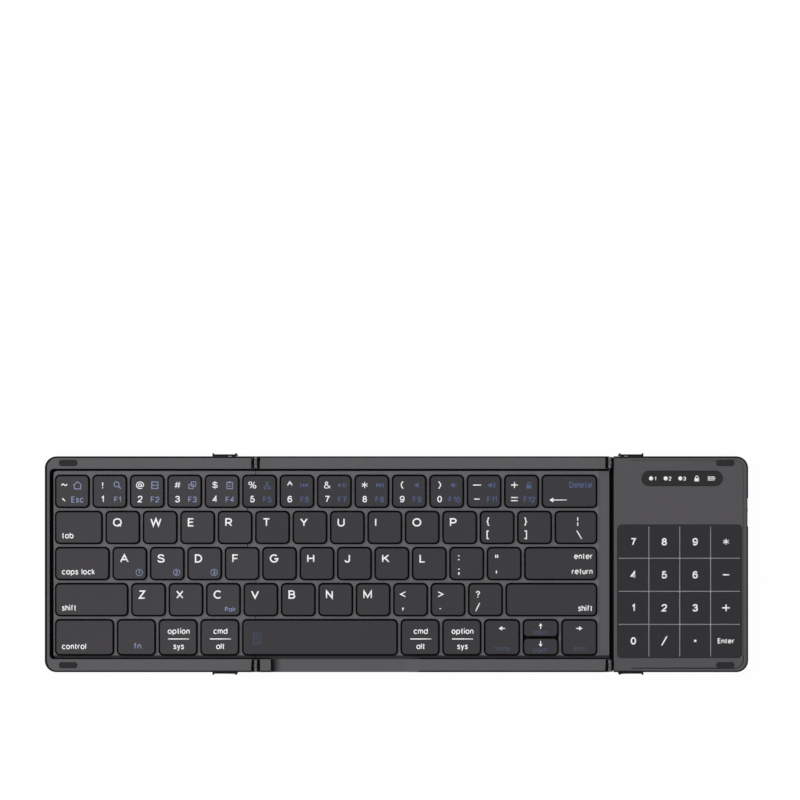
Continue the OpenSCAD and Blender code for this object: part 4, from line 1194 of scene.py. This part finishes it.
def key_supports():
    """Contact sheets, and for each key body its domes and links, which flatten under its keys."""
    for panel in ("center", "left"):
        sheet, links, body = panel + "_dome_sheet", panel + "_key_scissors", panel + "_panel"
        low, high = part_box(sheet)
        top = low.z + SHEET_THICK
        flat_sheet(sheet, top, body)

        source = cad_bmesh(links)
        source.verts.index_update()
        crosses = []
        for verts in islands(source):
            a, b = box_of(verts)
            crosses.append(((a + b) / 2, b.y - a.y, [v.index for v in verts]))
        for node in (key for key in PRINTS if PARENT_OF[key] == body):
            caps = loose_parts(node)
            mine = [(at, depth, indices) for at, depth, indices in crosses
                    if any(a.x < at.x < b.x and a.y < at.y < b.y for a, b in caps)]
            bm = source.copy()
            bm.verts.ensure_lookup_table()
            kept = {i for _, _, indices in mine for i in indices}
            bmesh.ops.delete(bm, geom=[v for v in bm.verts if v.index not in kept],
                             context="VERTS")
            link_faces = set(bm.faces)
            spots = []
            for at, depth, _ in mine:
                if all((at.xy - spot).length > DOME_SPREAD for spot in spots):
                    spots.append(at.xy)
                    r = DOME_R if depth > DEEP_LINK else SMALL_DOME_R
                    lathe(bm, at.x, at.y, [(r, top - 0.02 * MM), (r, top + 0.4 * MM),
                                           (0.62 * r, high.z - 0.3 * MM), (0.5 * r, high.z)])
            for face in bm.faces:
                face.material_index = int(face not in link_faces)
            obj = add_object(f"{node}_supports", bm, [LINK, DOME], body, [sheet, links],
                             SLOT_OF[links])
            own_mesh(obj)
        source.free()


# ---------- number pad and indicator window ----------

PAD_PITCH = Vector((14.02, 15.0)) * MM
PAD_ROWS = ("789*", "456-", "123+", "0/·")
DASH, DASH_PITCH, DASH_HALF = 0.46 * MM, 1.02 * MM, 0.17 * MM
DASH_START = 0.8 * MM
WINDOW_PITCH = 6.65 * MM


def dashes(low, high):
    """Start and end of each dash of a dotted line from low to high."""
    count = int((high - low - 1.2 * MM) / DASH_PITCH)
    starts = [low + DASH_START + k * DASH_PITCH for k in range(count)]
    return [(at, at + DASH) for at in starts]


def print_pad():
    low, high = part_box("touch_number_pad")
    marks = Marks(lambda x, y: high.z)
    x, y = middle_of(low, high)
    columns = [x + (i - 1.5) * PAD_PITCH.x for i in range(4)]
    rows = [y - (i - 1.5) * PAD_PITCH.y for i in range(4)]
    for row, chars in zip(rows, PAD_ROWS):
        for column, char in zip(columns, chars):
            marks.text(char, column, row, 3.4 * MM, bold=0.18, wide=1.15)
    marks.text("Enter", columns[3], rows[3], 2.4 * MM, bold=0.18, wide=0.95, gap=0.07)
    for i in (-1, 0, 1):
        line_x, line_y = x + i * PAD_PITCH.x, y + i * PAD_PITCH.y
        for start, end in dashes(low.y, high.y):
            marks.box(line_x - DASH_HALF, start, line_x + DASH_HALF, end, TINTED_INK)
        for start, end in dashes(low.x, high.x):
            marks.box(start, line_y - DASH_HALF, end, line_y + DASH_HALF, TINTED_INK)
    add_object("number_pad_print", marks.bm, [WHITE, LINE], "right_panel", slot="pad_surface")


def icon_channel(icon, digit):
    """A round lamp cap with its number."""
    icon.shape(*arc(-0.8, 0, 0.95, 0.95, 0, 342, 19))
    icon.text(digit, 1.15, -0.1, 1.8)


def icon_caps_lock(icon):
    icon.box(-1.05, -1.35, 1.05, 0.15)
    icon.curve(0, 0.35, 0.72, 0, 180, 10, pen=0.85)


def icon_battery(icon):
    icon.frame(-1.5, -0.8, 1.2, 0.8, pen=0.625)
    icon.box(1.45, -0.35, 1.75, 0.35)
    for left in (-1.15, -0.4, 0.35):
        icon.box(left, -0.45, left + 0.5, 0.45)


def print_window():
    low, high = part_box("indicator_window")
    marks = Marks(lambda x, y: high.z)
    x, y = middle_of(low, high)
    places = [Icon(marks, x + i * WINDOW_PITCH, y, PLAIN_INK) for i in (-2, -1, 0, 1, 2)]
    for icon, digit in zip(places, "123"):
        icon_channel(icon, digit)
    icon_caps_lock(places[3])
    icon_battery(places[4])
    add_object("indicator_print", marks.bm, [WHITE], "right_panel", slot="pad_surface")


# ---------- floor and light ------------------

FLOOR_GLOW = 0.97
FLOOR_Z = -0.02 * MM
SKY_LIGHT, SKY_SHOWN = 0.55, 1.0


def make_floor():
    """A pale floor that looks evenly white to the camera, and only lights the rest softly."""
    bm = bmesh.new()
    bmesh.ops.create_grid(bm, x_segments=1, y_segments=1, size=3.0)
    material, tree, shader = new_material("floor")
    shader.inputs["Base Color"].default_value = (0.9, 0.9, 0.9, 1)
    shader.inputs["Roughness"].default_value = 0.9
    shader.inputs["Specular IOR Level"].default_value = 0.0
    glow = new_node(tree, "Emission", values={"Color": (1, 1, 1, 1), "Strength": 1.0})
    camera_ray = new_node(tree, "LightPath").outputs["Is Camera Ray"]
    share = new_node(tree, "Math", {0: camera_ray}, {1: FLOOR_GLOW})
    share.operation = "MULTIPLY"
    mix = new_node(tree, "MixShader",
                   {0: share.outputs[0], 1: shader.outputs[0], 2: glow.outputs[0]})
    tree.links.new(mix.outputs[0], tree.nodes["Material Output"].inputs["Surface"])
    floor = add_object("floor", bm, [material])
    floor.location.z = FLOOR_Z


def add_lamp(name, at, size, power):
    """An area light that faces the middle of the keyboard."""
    data = bpy.data.lights.new(name, "AREA")
    data.shape = "RECTANGLE"
    data.size, data.size_y = size
    data.energy = power
    lamp = place(name, data)
    lamp.location = at
    lamp.rotation_euler = (-Vector(at)).to_track_quat("-Z", "Y").to_euler()


def light():
    world = bpy.data.worlds.new("world")
    bpy.context.scene.world = world
    world.use_nodes = True
    tree = world.node_tree
    lit, shown = tree.nodes["Background"], new_node(tree, "Background")
    for background, strength in ((lit, SKY_LIGHT), (shown, SKY_SHOWN)):
        background.inputs["Color"].default_value = (1, 1, 1, 1)
        background.inputs["Strength"].default_value = strength
    camera_ray = new_node(tree, "LightPath").outputs["Is Camera Ray"]
    mix = new_node(tree, "MixShader", {0: camera_ray, 1: lit.outputs[0], 2: shown.outputs[0]})
    tree.links.new(mix.outputs[0], tree.nodes["World Output"].inputs["Surface"])
    add_lamp("key_light", (-0.9, 0.5, 1.3), (0.9, 0.9), 14.0)
    add_lamp("fill_light", (0.9, -0.7, 1.1), (1.2, 0.8), 3.0)
    bpy.context.scene.view_settings.view_transform = "Standard"


make_camera()
light()
make_floor()
finish_solids()
bending_pieces()
key_supports()
make_keys()
print_pad()
print_window()
